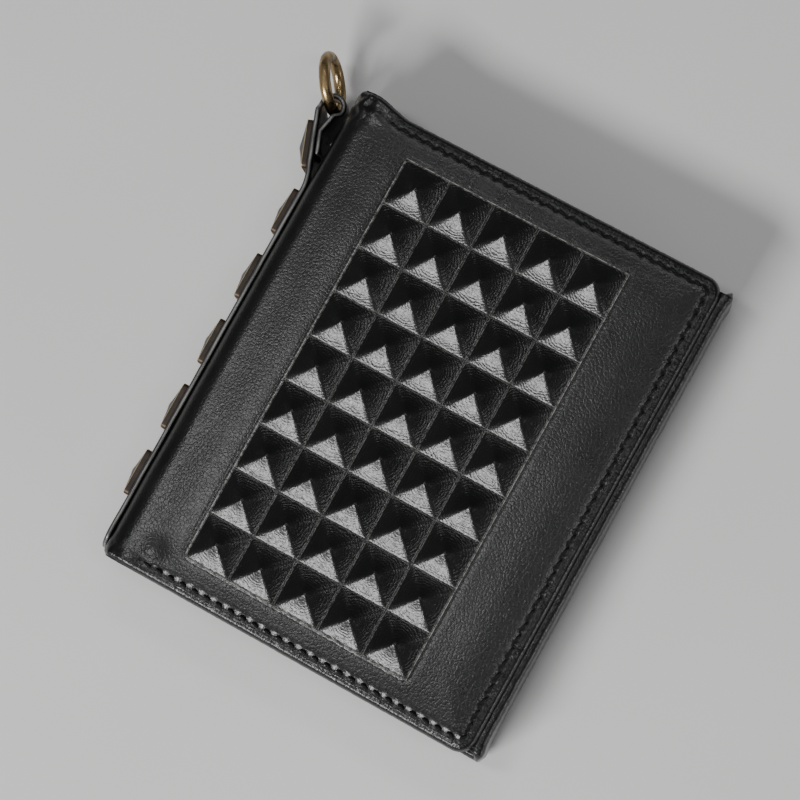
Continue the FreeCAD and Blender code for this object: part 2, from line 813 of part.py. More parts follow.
def zip_slider():
    """Two plates joined by a post between the rows, and the bridge that carries the pull."""
    body = new_body("zip_slider")
    ys = ("slider_y - slider_length / 2", "slider_y + slider_length / 2")
    wide = ("zip_line - slider_width / 2", "zip_line + slider_width / 2")
    under = "tooth_z - slider_play"
    block(body, "lower_plate", wide, ys, under + " - slider_plate", "slider_plate")
    post = ("zip_line - tooth_gap / 2 + post_gap", "zip_line + tooth_gap / 2 - post_gap")
    block(body, "post", post, ("slider_y", ys[1]), under, "tooth_height + 2 * slider_play")
    block(body, "upper_plate", wide, ys, "tooth_top_z + slider_play", "slider_plate")
    bridge = ("zip_line - bridge_width / 2", "zip_line + bridge_width / 2")
    low = "slider_y - bridge_length / 2"
    high = "slider_y + bridge_length / 2"
    room = "pull_thickness + bridge_room"
    block(body, "lower_bridge_foot", bridge, (low, low + " + bridge_foot"), "slider_top_z", room)
    block(body, "upper_bridge_foot", bridge, (high + " - bridge_foot", high), "slider_top_z", room)
    deck = "slider_top_z + pull_thickness + 2 * pull_lift"
    block(body, "bridge", bridge, (low, high), deck, "bridge_deck")
    return body


def zip_pull():
    """The flat pull tab, hooked over the bridge by the slot near its end."""
    body = new_body("zip_pull")
    wide = ("zip_line - pull_width / 2", "zip_line + pull_width / 2")
    long = ("slider_y + 1 - pull_length", "slider_y + 1")
    underside = "slider_top_z + pull_lift"
    block(body, "tab", wide, long, underside, "pull_thickness")
    round_edges(body, "tab_corners", ALONG_Z, "pull_corner", lambda p: True)
    near = "slider_y - 0.2"
    slot = rectangle(
        "zip_line - pull_slot_width / 2",
        "zip_line + pull_slot_width / 2",
        near + " - pull_slot_length",
        near,
    )
    recess(body, "slot", slot, underside + " + pull_thickness", "pull_thickness")
    return body


def inner_layers():
    """The flat layers inside both halves: boards, linings, note pocket, coin pocket and card slips."""
    flat = ("-panel_y", "panel_y")
    inset = ("-board_y", "board_y")
    sheet_piece("back_board", ("inner_x", "board_x"), inset, "back_board_z", "board")
    sheet_piece("back_lining", ("inner_x", "roll_x"), flat, "back_lining_z", "lining")
    sheet_piece("bill_panel_back", ("inner_x", "roll_x"), flat, "back_panel_z", "panel")
    sheet_piece("front_lining", ("inner_x", "panel_x"), flat, "front_lining_z", "lining")
    sheet_piece("bill_panel_front", ("inner_x", "panel_x"), flat, "front_panel_z", "panel")
    hem_x = ("panel_x - hem_width", "panel_x")
    sheet_piece("front_edge_hem", hem_x, flat, "front_panel_z + panel", "note_gap")
    spine_x = ("spine_inner_x", "spine_inner_x + lining")
    straight = "closed_thickness - 2 * fold_radius"
    sheet_piece("spine_lining", spine_x, flat, "fold_radius", straight)
    for number in range(int(size("card_slips"))):
        mouth = "card_mouth - %d * card_step" % number
        sheet_piece(
            "card_slip_%d" % (number + 1),
            ("inner_x", "panel_x - slip_inset"),
            ("-panel_y + slip_inset", mouth),
            "front_panel_z - %d * panel" % (number + 1),
            "panel",
        )


def coin_pocket():
    """Walls and front panels of the zipped coin pocket."""
    outer_y = ("coin_y - gusset", "coin_y")
    whole_x = ("inner_x", "coin_x")
    sheet_piece("coin_gusset_top", whole_x, outer_y, "coin_z", "coin_depth")
    sheet_piece("coin_gusset_bottom", whole_x, ("-coin_y", "-coin_y + gusset"), "coin_z", "coin_depth")
    inside_y = ("-coin_y + gusset", "coin_y - gusset")
    sheet_piece("coin_gusset_side", ("coin_x - gusset", "coin_x"), inside_y, "coin_z", "coin_depth")
    sheet_piece("coin_gusset_spine", ("inner_x", "inner_x + gusset"), inside_y, "coin_z", "coin_depth")
    whole_y = ("-coin_y", "coin_y")
    near = ("inner_x", "zip_line - zip_slot / 2")
    far = ("zip_line + zip_slot / 2", "coin_x")
    sheet_piece("coin_panel_inner", near, whole_y, "coin_top_z", "panel")
    sheet_piece("coin_panel_outer", far, whole_y, "coin_top_z", "panel")


def build():
    """Makes every piece of the wallet."""
    back_cover()
    back_edge_roll()
    stitching("back_stitching", "groove_depth - thread_height - 0.05")
    front_cover()
    relief_insert()
    front_board()
    stitching("front_stitching", "closed_thickness - groove_depth")
    inner_layers()
    coin_pocket()
    zip_tapes_and_teeth()
    zip_slider()
    zip_pull()
    spine_leather()
    strap = spine_strap()
    for number in range(int(size("stud_count"))):
        spine_stud(number)
    loop_thread(strap)
    chain_ring()


def check_and_write():
    """Refuses a failed object, then writes one file for each piece."""
    doc.recompute()
    for item in doc.Objects:
        if "Invalid" in item.State or "Error" in item.State:
            raise RuntimeError(item.Label + " failed: " + str(item.State))
    os.makedirs("parts", exist_ok=True)
    pieces = [item for item in doc.Objects if item.isDerivedFrom("PartDesign::Body")]
    pieces += [item for item in doc.Objects if item.Name.startswith("Piece_") or item.Name == "Ring"]
    for piece in pieces:
        shape = piece.Shape
        if shape.isNull() or not shape.isValid():
            raise RuntimeError(piece.Label + " has no valid shape")
        shape.exportStep("parts/" + piece.Label + ".step")
        print(piece.Label, len(shape.Solids), round(shape.Volume, 2))
    print(len(pieces), "pieces")


build()
check_and_write()
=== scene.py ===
import math

import bmesh
import bpy
import numpy as np
from mathutils import Matrix, Vector, noise


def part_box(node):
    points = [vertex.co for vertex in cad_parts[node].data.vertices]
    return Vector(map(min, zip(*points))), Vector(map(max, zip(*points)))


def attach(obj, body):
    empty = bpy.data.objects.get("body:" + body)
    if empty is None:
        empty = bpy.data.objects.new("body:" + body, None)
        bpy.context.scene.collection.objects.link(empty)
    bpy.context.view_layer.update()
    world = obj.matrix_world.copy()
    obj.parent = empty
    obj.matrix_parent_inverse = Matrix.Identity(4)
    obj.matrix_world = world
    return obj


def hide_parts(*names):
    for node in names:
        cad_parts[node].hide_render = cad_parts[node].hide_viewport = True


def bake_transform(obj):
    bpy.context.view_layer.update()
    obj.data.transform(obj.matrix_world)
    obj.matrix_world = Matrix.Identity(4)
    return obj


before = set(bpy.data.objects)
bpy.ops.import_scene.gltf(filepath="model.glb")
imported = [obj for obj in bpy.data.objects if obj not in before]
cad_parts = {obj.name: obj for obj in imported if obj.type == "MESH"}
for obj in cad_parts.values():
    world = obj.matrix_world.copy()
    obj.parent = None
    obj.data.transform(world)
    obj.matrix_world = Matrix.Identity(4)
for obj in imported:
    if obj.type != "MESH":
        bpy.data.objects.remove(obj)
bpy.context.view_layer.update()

# The closed wallet lies on its back cover.  +X runs from the spine to the open side, +Y along the
# spine towards the chain ring, +Z through the thickness.  Everything is in metres.
MM = 0.001
LEATHER = 1.6 * MM
FOLD = 5.0 * MM
FRONT_CORNER = 4.0 * MM
BACK_CORNER = 1.6 * MM
STITCH_INSET = 2.6 * MM
STITCH_PITCH = 3.0 * MM
STITCH_LENGTH = 1.8 * MM
STITCH_START = 9.5 * MM
PYRAMID_RISE = 2.95 * MM

# radius of a cover's turned edge
RIM = 1.35 * MM
# how much fuller the front's open side is than its CAD form
EDGE_SWELL = 0.6 * MM
# how far beyond the pyramids the finest faces reach
FIELD_MARGIN = 1.1 * MM


def corners_of(box):
    """The low and high corners of a box, as vectors."""
    return tuple(Vector(corner) for corner in box)


front_high = corners_of(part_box("front_cover"))[1]
relief_low, relief_high = corners_of(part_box("relief_insert"))
roll_high = corners_of(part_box("back_edge_roll"))[1]
strap_low, strap_high = corners_of(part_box("spine_strap"))
SPINE_X = corners_of(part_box("spine_leather"))[0].x
TOP_Y = front_high.y
THICK = corners_of(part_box("front_board"))[1].z + LEATHER
MIDDLE_Z = THICK / 2
FRONT_EDGE = front_high.x + EDGE_SWELL
BACK_EDGE = roll_high.x
COLUMNS = 5
ROWS = 9
PITCH = (relief_high.x - relief_low.x) / COLUMNS


# ---------------- small helpers


def smoothstep(low, high, x):
    """0 below low, 1 above high, smooth between."""
    t = np.clip((x - low) / (high - low), 0, 1)
    return t * t * (3 - 2 * t)


def mesh_piece(name, vertices, faces, smooth=True):
    """A new object from numpy vertices and a list of faces."""
    mesh = bpy.data.meshes.new(name)
    mesh.from_pydata([tuple(v) for v in vertices], [], [tuple(f) for f in faces])
    mesh.update()
    mesh.validate()
    piece = bpy.data.objects.new(name, mesh)
    bpy.context.scene.collection.objects.link(piece)
    mesh.polygons.foreach_set("use_smooth", [smooth] * len(mesh.polygons))
    return piece


def add_attribute(piece, name, values):
    """Stores one number for each vertex, for the material to read."""
    attribute = piece.data.attributes.new(name, "FLOAT", "POINT")
    attribute.data.foreach_set("value", np.asarray(values, np.float32))


def skin(rings, count, first=0, closed=False):
    """Faces between rings of count vertices each, starting at vertex first."""
    faces = []
    total = rings * count
    for ring in range(rings if closed else rings - 1):
        for k in range(count):
            here = ring * count + k
            beside = ring * count + (k + 1) % count
            corners = (here, beside, (beside + count) % total, (here + count) % total)
            faces.append(tuple(first + corner for corner in corners))
    return faces


def face_outwards(piece):
    """Turns every face of a closed piece the right way out."""
    form = bmesh.new()
    form.from_mesh(piece.data)
    bmesh.ops.recalc_face_normals(form, faces=form.faces)
    form.to_mesh(piece.data)
    form.free()


# ---------------- materials


class Paint:
    """Builds one procedural material node by node."""

    def __init__(self, name):
        self.material = bpy.data.materials.new(name)
        self.material.use_nodes = True
        self.nodes = self.material.node_tree.nodes
        self.links = self.material.node_tree.links
        self.shader = self.nodes["Principled BSDF"]
        self.place = self.nodes.new("ShaderNodeTexCoord").outputs["Object"]

    def link(self, source, target):
        self.links.new(source, target)

    def set(self, **values):
        """Sets constant values on the shader's own sockets."""
        for key, value in values.items():
            self.shader.inputs[key.replace("_", " ")].default_value = value

    def noise(self, size, detail=4.0, roughness=0.55, stretch=None):
        """A noise texture whose lumps are size metres across."""
        node = self.nodes.new("ShaderNodeTexNoise")
        node.inputs["Scale"].default_value = 1.0 / size
        node.inputs["Detail"].default_value = detail
        node.inputs["Roughness"].default_value = roughness
        self.link(self.stretched(stretch), node.inputs["Vector"])
        return node.outputs["Fac"]

    def stretched(self, stretch):
        """The place on the object, stretched along its axes."""
        if stretch is None:
            return self.place
        mapping = self.nodes.new("ShaderNodeMapping")
        mapping.inputs["Scale"].default_value = stretch
        self.link(self.place, mapping.inputs["Vector"])
        return mapping.outputs["Vector"]

    def cells(self, size, feature="DISTANCE_TO_EDGE"):
        """Voronoi cells, for pebbled leather."""
        node = self.nodes.new("ShaderNodeTexVoronoi")
        node.feature = feature
        node.inputs["Scale"].default_value = 1.0 / size
        self.link(self.place, node.inputs["Vector"])
        return node.outputs["Distance"]

    def ramp(self, source, stops):
        """A colour ramp; stops are (position, colour)."""
        node = self.nodes.new("ShaderNodeValToRGB")
        first, last = stops[0], stops[-1]
        node.color_ramp.elements[0].position = first[0]
        node.color_ramp.elements[0].color = (*first[1], 1)
        node.color_ramp.elements[1].position = last[0]
        node.color_ramp.elements[1].color = (*last[1], 1)
        for position, colour in stops[1:-1]:
            node.color_ramp.elements.new(position).color = (*colour, 1)
        self.link(source, node.inputs["Fac"])
        return node.outputs["Color"]

    def math(self, operation, first, second=None, third=None):
        """One arithmetic node; each input is a number or a socket."""
        node = self.nodes.new("ShaderNodeMath")
        node.operation = operation
        for socket, value in zip(node.inputs, (first, second, third)):
            if value is None:
                continue
            if isinstance(value, (int, float)):
                socket.default_value = value
            else:
                self.link(value, socket)
        return node.outputs["Value"]

    def times(self, first, second):
        return self.math("MULTIPLY", first, second)

    def times_add(self, first, second, third):
        return self.math("MULTIPLY_ADD", first, second, third)

    def plus(self, first, second):
        return self.math("ADD", first, second)

    def minus(self, first, second):
        return self.math("SUBTRACT", first, second)

    def past(self, place, half):
        """How far a coordinate lies outside the stretch from 0 to twice half."""
        return self.minus(self.math("ABSOLUTE", self.minus(place, half)), half)

    def band(self, source, middle, inner, outer):
        """1 where source is within inner of middle, 0 from outer onwards."""
        return self.spread(self.math("ABSOLUTE", self.minus(source, middle)), inner, outer, 1, 0)

    def spread(self, source, low, high, out_low, out_high):
        """Maps one range onto another, clamped."""
        node = self.nodes.new("ShaderNodeMapRange")
        node.inputs["From Min"].default_value = low
        node.inputs["From Max"].default_value = high
        node.inputs["To Min"].default_value = out_low
        node.inputs["To Max"].default_value = out_high
        self.link(source, node.inputs["Value"])
        return node.outputs["Result"]

    def attribute(self, name):
        """A number stored on the mesh."""
        node = self.nodes.new("ShaderNodeAttribute")
        node.attribute_name = name
        return node.outputs["Fac"]

    def axis(self, letter):
        """One coordinate of the place on the object."""
        node = self.nodes.new("ShaderNodeSeparateXYZ")
        self.link(self.place, node.inputs["Vector"])
        return node.outputs[letter]

    def bump(self, height, distance, strength=1.0, under=None):
        """Adds a bump; height 0 to 1 stands for distance metres."""
        node = self.nodes.new("ShaderNodeBump")
        node.inputs["Distance"].default_value = distance
        node.inputs["Strength"].default_value = strength
        self.link(height, node.inputs["Height"])
        if under is not None:
            self.link(under, node.inputs["Normal"])
        return node.outputs["Normal"]

    def colour(self, socket):
        self.link(socket, self.shader.inputs["Base Color"])

    def rough(self, socket):
        self.link(socket, self.shader.inputs["Roughness"])

    def normal(self, socket):
        self.link(socket, self.shader.inputs["Normal"])


def outer_leather_paint():
    """Black, semi-gloss cowhide: fine pebble, faint wrinkles, worked lines round each apex."""
    paint = Paint("outer_leather")
    paint.set(Specular_IOR_Level=0.5)
    mottle = paint.noise(9 * MM, 3)
    fine = paint.noise(0.5 * MM, 5, 0.6)
    base = paint.ramp(mottle, [(0.3, (0.0028, 0.0027, 0.0027)), (0.7, (0.006, 0.0058, 0.0057))])
    patch = paint.noise(4 * MM, 4)
    uneven = paint.times_add(patch, 0.1, paint.times(fine, 0.1))
    paint.rough(paint.plus(uneven, 0.2))
    pebble = paint.cells(0.62 * MM, "F1")
    crackle = paint.spread(paint.cells(0.85 * MM), 0.0, 0.22, 0, 1)
    grain = paint.times_add(crackle, 0.5, paint.times(pebble, -0.5))
    grain = paint.times_add(fine, 0.6, grain)
    normal = paint.bump(grain, 0.06 * MM, 0.5)
    # panel_u and panel_v count the pyramids across and along the pressed field
    u = paint.attribute("panel_u")
    v = paint.attribute("panel_v")
    cell_u = paint.times_add(paint.math("FRACT", u), 2.0, -1.0)
    cell_v = paint.times_add(paint.math("FRACT", v), 2.0, -1.0)
    beyond = paint.math("MAXIMUM", paint.past(u, COLUMNS / 2), paint.past(v, ROWS / 2))
    inside = paint.spread(beyond, -0.01, 0.0, 1, 0)
    foot = paint.math("MAXIMUM", paint.math("ABSOLUTE", cell_u), paint.math("ABSOLUTE", cell_v))
    # the arcs that the pressed leather shows across its faces, centred on each apex
    squares = paint.plus(paint.math("POWER", cell_u, 2.0), paint.math("POWER", cell_v, 2.0))
    centre = paint.math("SQRT", squares)
    drift = paint.noise(2.2 * MM, 3)
    arcs = paint.math("SINE", paint.times_add(centre, 58.0, paint.times(drift, 16.0)))
    strong = paint.times(inside, paint.spread(foot, 0.3, 0.75, 0.15, 1))
    strong = paint.times(strong, paint.spread(paint.noise(1.2 * MM, 3), 0.35, 0.6, 0.2, 1))
    normal = paint.bump(paint.times(arcs, strong), 0.022 * MM, 0.6, normal)
    # short creases across the turned edges
    crease = 0.5 * MM
    side_creases = paint.noise(crease, 2, stretch=(0.12, 1, 0.12))
    end_creases = paint.noise(crease, 2, stretch=(1, 0.12, 0.12))
    across_side = paint.times(side_creases, paint.attribute("side_rim"))
    across_end = paint.times(end_creases, paint.attribute("end_rim"))
    paint.normal(paint.bump(paint.plus(across_side, across_end), 0.28 * MM, 0.8, normal))
    # painted highlight: thin light grey lines along the creases between the pyramids and round the
    # whole field, broken up by noise
    seam = paint.times(paint.band(foot, 0.955, 0.006, 0.017), inside)
    border = paint.band(beyond, 0.004, 0.005, 0.012)
    broken = paint.spread(paint.noise(0.7 * MM, 3), 0.42, 0.56, 0.15, 1)
    rub_and_highlight = paint.times(paint.math("MAXIMUM", paint.times(seam, 0.55), border), broken)
    mix = paint.nodes.new("ShaderNodeMix")
    mix.data_type = "RGBA"
    # a colour mix node takes its factor at 0 and its two colours at 6 and 7
    paint.link(rub_and_highlight, mix.inputs[0])
    paint.link(base, mix.inputs[6])
    # the light grey of the painted highlight lines
    mix.inputs[7].default_value = (0.23, 0.225, 0.21, 1)
    paint.colour(mix.outputs[2])
    return paint.material


def strap_paint():
    """Smooth black strap leather whose burnished cut edges carry a painted highlight in waxy grey.
    """
    paint = Paint("strap_leather")
    paint.set(Specular_IOR_Level=0.55)
    # painted highlight: the rounded edges turn grey, streaked by noise
    edge = paint.spread(paint.attribute("edge_highlight"), 0.55, 0.95, 0, 1)
    streak = paint.noise(1.4 * MM, 4, stretch=(1, 0.15, 1))
    mixed = paint.times(edge, paint.spread(streak, 0.35, 0.6, 0.45, 1))
    black, dim_highlight_grey, highlight_grey = (0.006, 0.006, 0.006), (0.07, 0.068, 0.066), (0.2, 0.195, 0.19)
    paint.colour(paint.ramp(mixed, [(0.0, black), (0.5, dim_highlight_grey), (1.0, highlight_grey)]))
    paint.rough(paint.spread(streak, 0.2, 0.8, 0.24, 0.42))
    grain = paint.times_add(paint.cells(0.7 * MM, "F1"), -0.6, paint.noise(0.4 * MM, 4))
    paint.normal(paint.bump(grain, 0.04 * MM, 0.5))
    return paint.material


def inner_leather_paint():
    """Satin black leather of the pockets."""
    paint = Paint("inner_leather")
    paint.set(Specular_IOR_Level=0.45)
    mottle = paint.noise(7 * MM, 4)
    paint.colour(paint.ramp(mottle, [(0.3, (0.016, 0.0155, 0.015)), (0.7, (0.028, 0.027, 0.026))]))
    paint.rough(paint.spread(paint.noise(2 * MM, 4), 0.2, 0.8, 0.38, 0.58))
    grain = paint.times_add(paint.cells(0.7 * MM, "F1"), -0.7, paint.noise(0.35 * MM, 4))
    paint.normal(paint.bump(grain, 0.05 * MM, 0.6))
    return paint.material


def woven_paint(name, dark, light, size):
    """A fine twill: two crossed waves, with a little fuzz."""
    paint = Paint(name)
    paint.set(Specular_IOR_Level=0.3, Sheen_Weight=0.25, Sheen_Roughness=0.4)
    across = paint.plus(paint.axis("X"), paint.axis("Y"))
    waves = paint.math("SINE", paint.times(across, 2 * math.pi / size))
    along = paint.math("SINE", paint.times(paint.axis("Y"), 2 * math.pi / (size * 0.6)))
    fuzz = paint.noise(size * 0.7, 4)
    weave = paint.times_add(waves, 0.3, paint.times_add(along, 0.2, fuzz))
    paint.colour(paint.ramp(paint.spread(weave, 0.0, 1.0, 0, 1), [(0.2, dark), (0.8, light)]))
    paint.rough(paint.spread(fuzz, 0.2, 0.8, 0.7, 0.9))
    paint.normal(paint.bump(weave, 0.06 * MM, 0.7))
    return paint.material


def thread_paint():
    """Waxed black thread with a tight twist."""
    paint = Paint("thread")
    paint.set(Specular_IOR_Level=0.25)
    twist = paint.plus(paint.plus(paint.axis("X"), paint.axis("Y")), paint.axis("Z"))
    turns = paint.math("SINE", paint.times(twist, 2 * math.pi / (0.42 * MM)))
    fuzz = paint.noise(0.25 * MM, 3)
    paint.colour(paint.ramp(fuzz, [(0.3, (0.002, 0.002, 0.002)), (0.7, (0.006, 0.006, 0.006))]))
    paint.rough(paint.spread(fuzz, 0.2, 0.8, 0.6, 0.8))
    paint.normal(paint.bump(turns, 0.05 * MM, 0.8))
    return paint.material


def brass_paint(name, dark, middle, bright, rough):
    """Antiqued brass: dark in the hollows and on the faces, bright and bare where
    wear_and_highlight is high: real rubbing, and on the studs' rims, ridges and tips partly a
    painted highlight.
    """
    paint = Paint(name)
    patina = paint.noise(2.2 * MM, 5, 0.6)
    speck = paint.noise(0.35 * MM, 4, 0.6)
    wear_and_highlight = paint.attribute("wear_and_highlight")
    rub = paint.times_add(patina, 0.32, paint.times_add(speck, 0.12, -0.16))
    # wear_and_highlight brightens the brass: real rubbing, and on the studs painted highlight too
    level = paint.plus(rub, paint.times(wear_and_highlight, 0.8))
    paint.colour(paint.ramp(level, [(0.02, dark), (0.3, middle), (0.75, bright)]))
    bare = paint.spread(level, 0.1, 0.42, 0.25, 1)
    paint.link(bare, paint.shader.inputs["Metallic"])
    paint.rough(paint.times_add(bare, rough - 0.55, paint.spread(patina, 0.2, 0.8, 0.6, 0.52)))
    scratches = paint.noise(0.5 * MM, 5, 0.7, stretch=(1, 0.2, 1))
    pitted = paint.times_add(scratches, 0.5, paint.times(speck, 0.5))
    paint.normal(paint.bump(pitted, 0.03 * MM, 0.5))
    return paint.material


def board_paint(name, dark, light):
    """Pressed fibre board."""
    paint = Paint(name)
    fibre = paint.noise(0.9 * MM, 6, 0.7, stretch=(1, 0.4, 1))
    paint.colour(paint.ramp(fibre, [(0.3, dark), (0.7, light)]))
    paint.rough(paint.spread(fibre, 0.2, 0.8, 0.75, 0.95))
    paint.normal(paint.bump(fibre, 0.05 * MM, 0.6))
    return paint.material


def floor_paint():
    """Pale matte paper."""
    paint = Paint("floor")
    paint.set(Specular_IOR_Level=0.2)
    cloud = paint.noise(0.12, 3)
    tooth = paint.noise(0.8 * MM, 4)
    paint.colour(paint.ramp(cloud, [(0.3, (0.66, 0.655, 0.645)), (0.7, (0.7, 0.695, 0.685))]))
    paint.rough(paint.spread(tooth, 0.2, 0.8, 0.8, 0.92))
    paint.normal(paint.bump(tooth, 0.03 * MM, 0.4))
    return paint.material


OUTER = outer_leather_paint()
STRAP = strap_paint()
INNER = inner_leather_paint()
LINING = woven_paint("lining", (0.012, 0.012, 0.013), (0.03, 0.03, 0.032), 0.6 * MM)
TAPE = woven_paint("zip_tape", (0.01, 0.01, 0.011), (0.028, 0.028, 0.03), 0.9 * MM)
THREAD = thread_paint()
BRASS = brass_paint(
    "antique_brass", (0.012, 0.007, 0.004), (0.06, 0.036, 0.016), (0.8, 0.66, 0.38), 0.3
)
RING_BRASS = brass_paint(
    "ring_brass", (0.07, 0.045, 0.02), (0.27, 0.185, 0.085), (0.6, 0.47, 0.27), 0.26
)
ZIP_METAL = brass_paint(
    "zip_metal", (0.16, 0.11, 0.05), (0.36, 0.27, 0.14), (0.75, 0.62, 0.38), 0.28
)
BOARD = board_paint("board", (0.2, 0.15, 0.1), (0.34, 0.27, 0.19))
FORMER = board_paint("former", (0.03, 0.03, 0.03), (0.06, 0.06, 0.058))


# ---------------- the outer leather


def lines_between(stops):
    """Grid lines through stops of (place, step): each stretch is cut into about such steps."""
    out = [stops[0][0]]
    for (start, _), (end, step) in zip(stops[:-1], stops[1:]):
        count = max(1, int(round((end - start) / step)))
        out.extend(start + (end - start) * (k + 1) / count for k in range(count))
    return np.array(out)


def outside_rounded(dx, dy, radius):
    """Distance outside a rounded corner; dx and dy are measured from the corner's centre."""
    beyond = np.hypot(np.maximum(dx, 0), np.maximum(dy, 0))
    return beyond + np.minimum(np.maximum(dx, dy), 0) - radius


def outline_inset(x, y, edge, corner):
    """Distance inwards from the cover's outline; its side at the spine is open."""
    return -outside_rounded(x - (edge - corner), np.abs(y) - (TOP_Y - corner), corner)


def pyramid_field(x, y):
    """Height of the embossed pyramids above the flat leather."""
    u = (x - relief_low.x) / PITCH
    v = (y - relief_low.y) / PITCH
    inside = (u > 0) & (u < COLUMNS) & (v > 0) & (v < ROWS)
    du = 2 * (u - np.floor(u)) - 1
    dv = 2 * (v - np.floor(v)) - 1
    square = np.maximum(np.abs(du), np.abs(dv))
    sharp = 3.4 + 11 * square**2
    reach = (np.abs(du) ** sharp + np.abs(dv) ** sharp) ** (1 / sharp)
    reach = np.minimum(reach, 1)
    # the faces sag a little between apex and foot, and the tip is blunt
    slope = np.clip(1 - np.hypot(reach, 0.06) / 0.985, 0, 1)
    height = PYRAMID_RISE * (0.62 * slope + 0.38 * slope**2.1) / 0.93
    seam = -0.12 * MM * smoothstep(0.94, 1.0, square)
    return np.where(inside, height + seam, 0)


def field_border(x, y):
    """The pressed line round the field: a small bead and a step down outside it."""
    middle_x = (relief_low.x + relief_high.x) / 2
    middle_y = (relief_low.y + relief_high.y) / 2
    round_off = 1.3 * MM
    dx = np.abs(x - middle_x) - ((relief_high.x - relief_low.x) / 2 - round_off)
    dy = np.abs(y - middle_y) - ((relief_high.y - relief_low.y) / 2 - round_off)
    gap = outside_rounded(dx, dy, round_off)
    bead = 0.13 * MM * np.exp(-(((gap - 0.1 * MM) / (0.22 * MM)) ** 2))
    gutter = -0.07 * MM * np.exp(-(((gap - 0.7 * MM) / (0.4 * MM)) ** 2))
    return bead + gutter


def stitch_line(edge, corner):
    """The sewn line round three sides: points evenly spaced, each with its direction of travel."""
    radius = max(corner - STITCH_INSET, 0.6 * MM)
    x0 = SPINE_X + STITCH_START
    x1 = edge - STITCH_INSET
    y1 = TOP_Y - STITCH_INSET
    path = [(x0, -y1)]
    steps = 8
    for centre_y, first in ((-y1 + radius, -90), (y1 - radius, 0)):
        for k in range(steps + 1):
            angle = math.radians(first + 90 * k / steps)
            px = x1 - radius + radius * math.cos(angle)
            path.append((px, centre_y + radius * math.sin(angle)))
    path.append((x0, y1))
    path = np.array(path)
    run = np.concatenate([[0], np.cumsum(np.hypot(*np.diff(path, axis=0).T))])
    count = int(run[-1] / STITCH_PITCH)
    places = (np.arange(count) + 0.5) * run[-1] / count
    look_ahead = 0.3 * MM
    xs = np.interp(places, run, path[:, 0])
    ys = np.interp(places, run, path[:, 1])
    ahead_x = np.interp(places + look_ahead, run, path[:, 0])
    ahead_y = np.interp(places + look_ahead, run, path[:, 1])
    directions = np.stack([ahead_x - xs, ahead_y - ys], 1)
    directions /= np.linalg.norm(directions, axis=1)[:, None]
    return np.stack([xs, ys], 1), directions


def sewn_dents(x, y, inset, edge, corner):
    """How the stitches pull the leather in: a soft gutter, and a pit where each one goes down."""
    start = SPINE_X + STITCH_START
    mask = smoothstep(start - 3 * MM, start, x)
    gutter = -0.09 * MM * np.exp(-(((inset - STITCH_INSET) / (0.7 * MM)) ** 2))
    pillow = 0.03 * MM * np.exp(-(((inset - STITCH_INSET - 1.5 * MM) / (0.9 * MM)) ** 2))
    centres, directions = stitch_line(edge, corner)
    half_step = directions * STITCH_PITCH / 2
    holes = np.concatenate([centres + half_step, centres[:1] - half_step[:1]])
    near = np.abs(inset - STITCH_INSET) < 2.0 * MM
    near_x, near_y = x[near], y[near]
    total = np.zeros(len(near_x))
    hole_radius = 0.55 * MM
    for px, py in holes:
        total += np.exp(-((near_x - px) ** 2 + (near_y - py) ** 2) / hole_radius**2)
    pits = np.zeros_like(x)
    pits[near] = -0.22 * MM * np.minimum(total, 1.0)
    return mask * (gutter + pillow + pits)


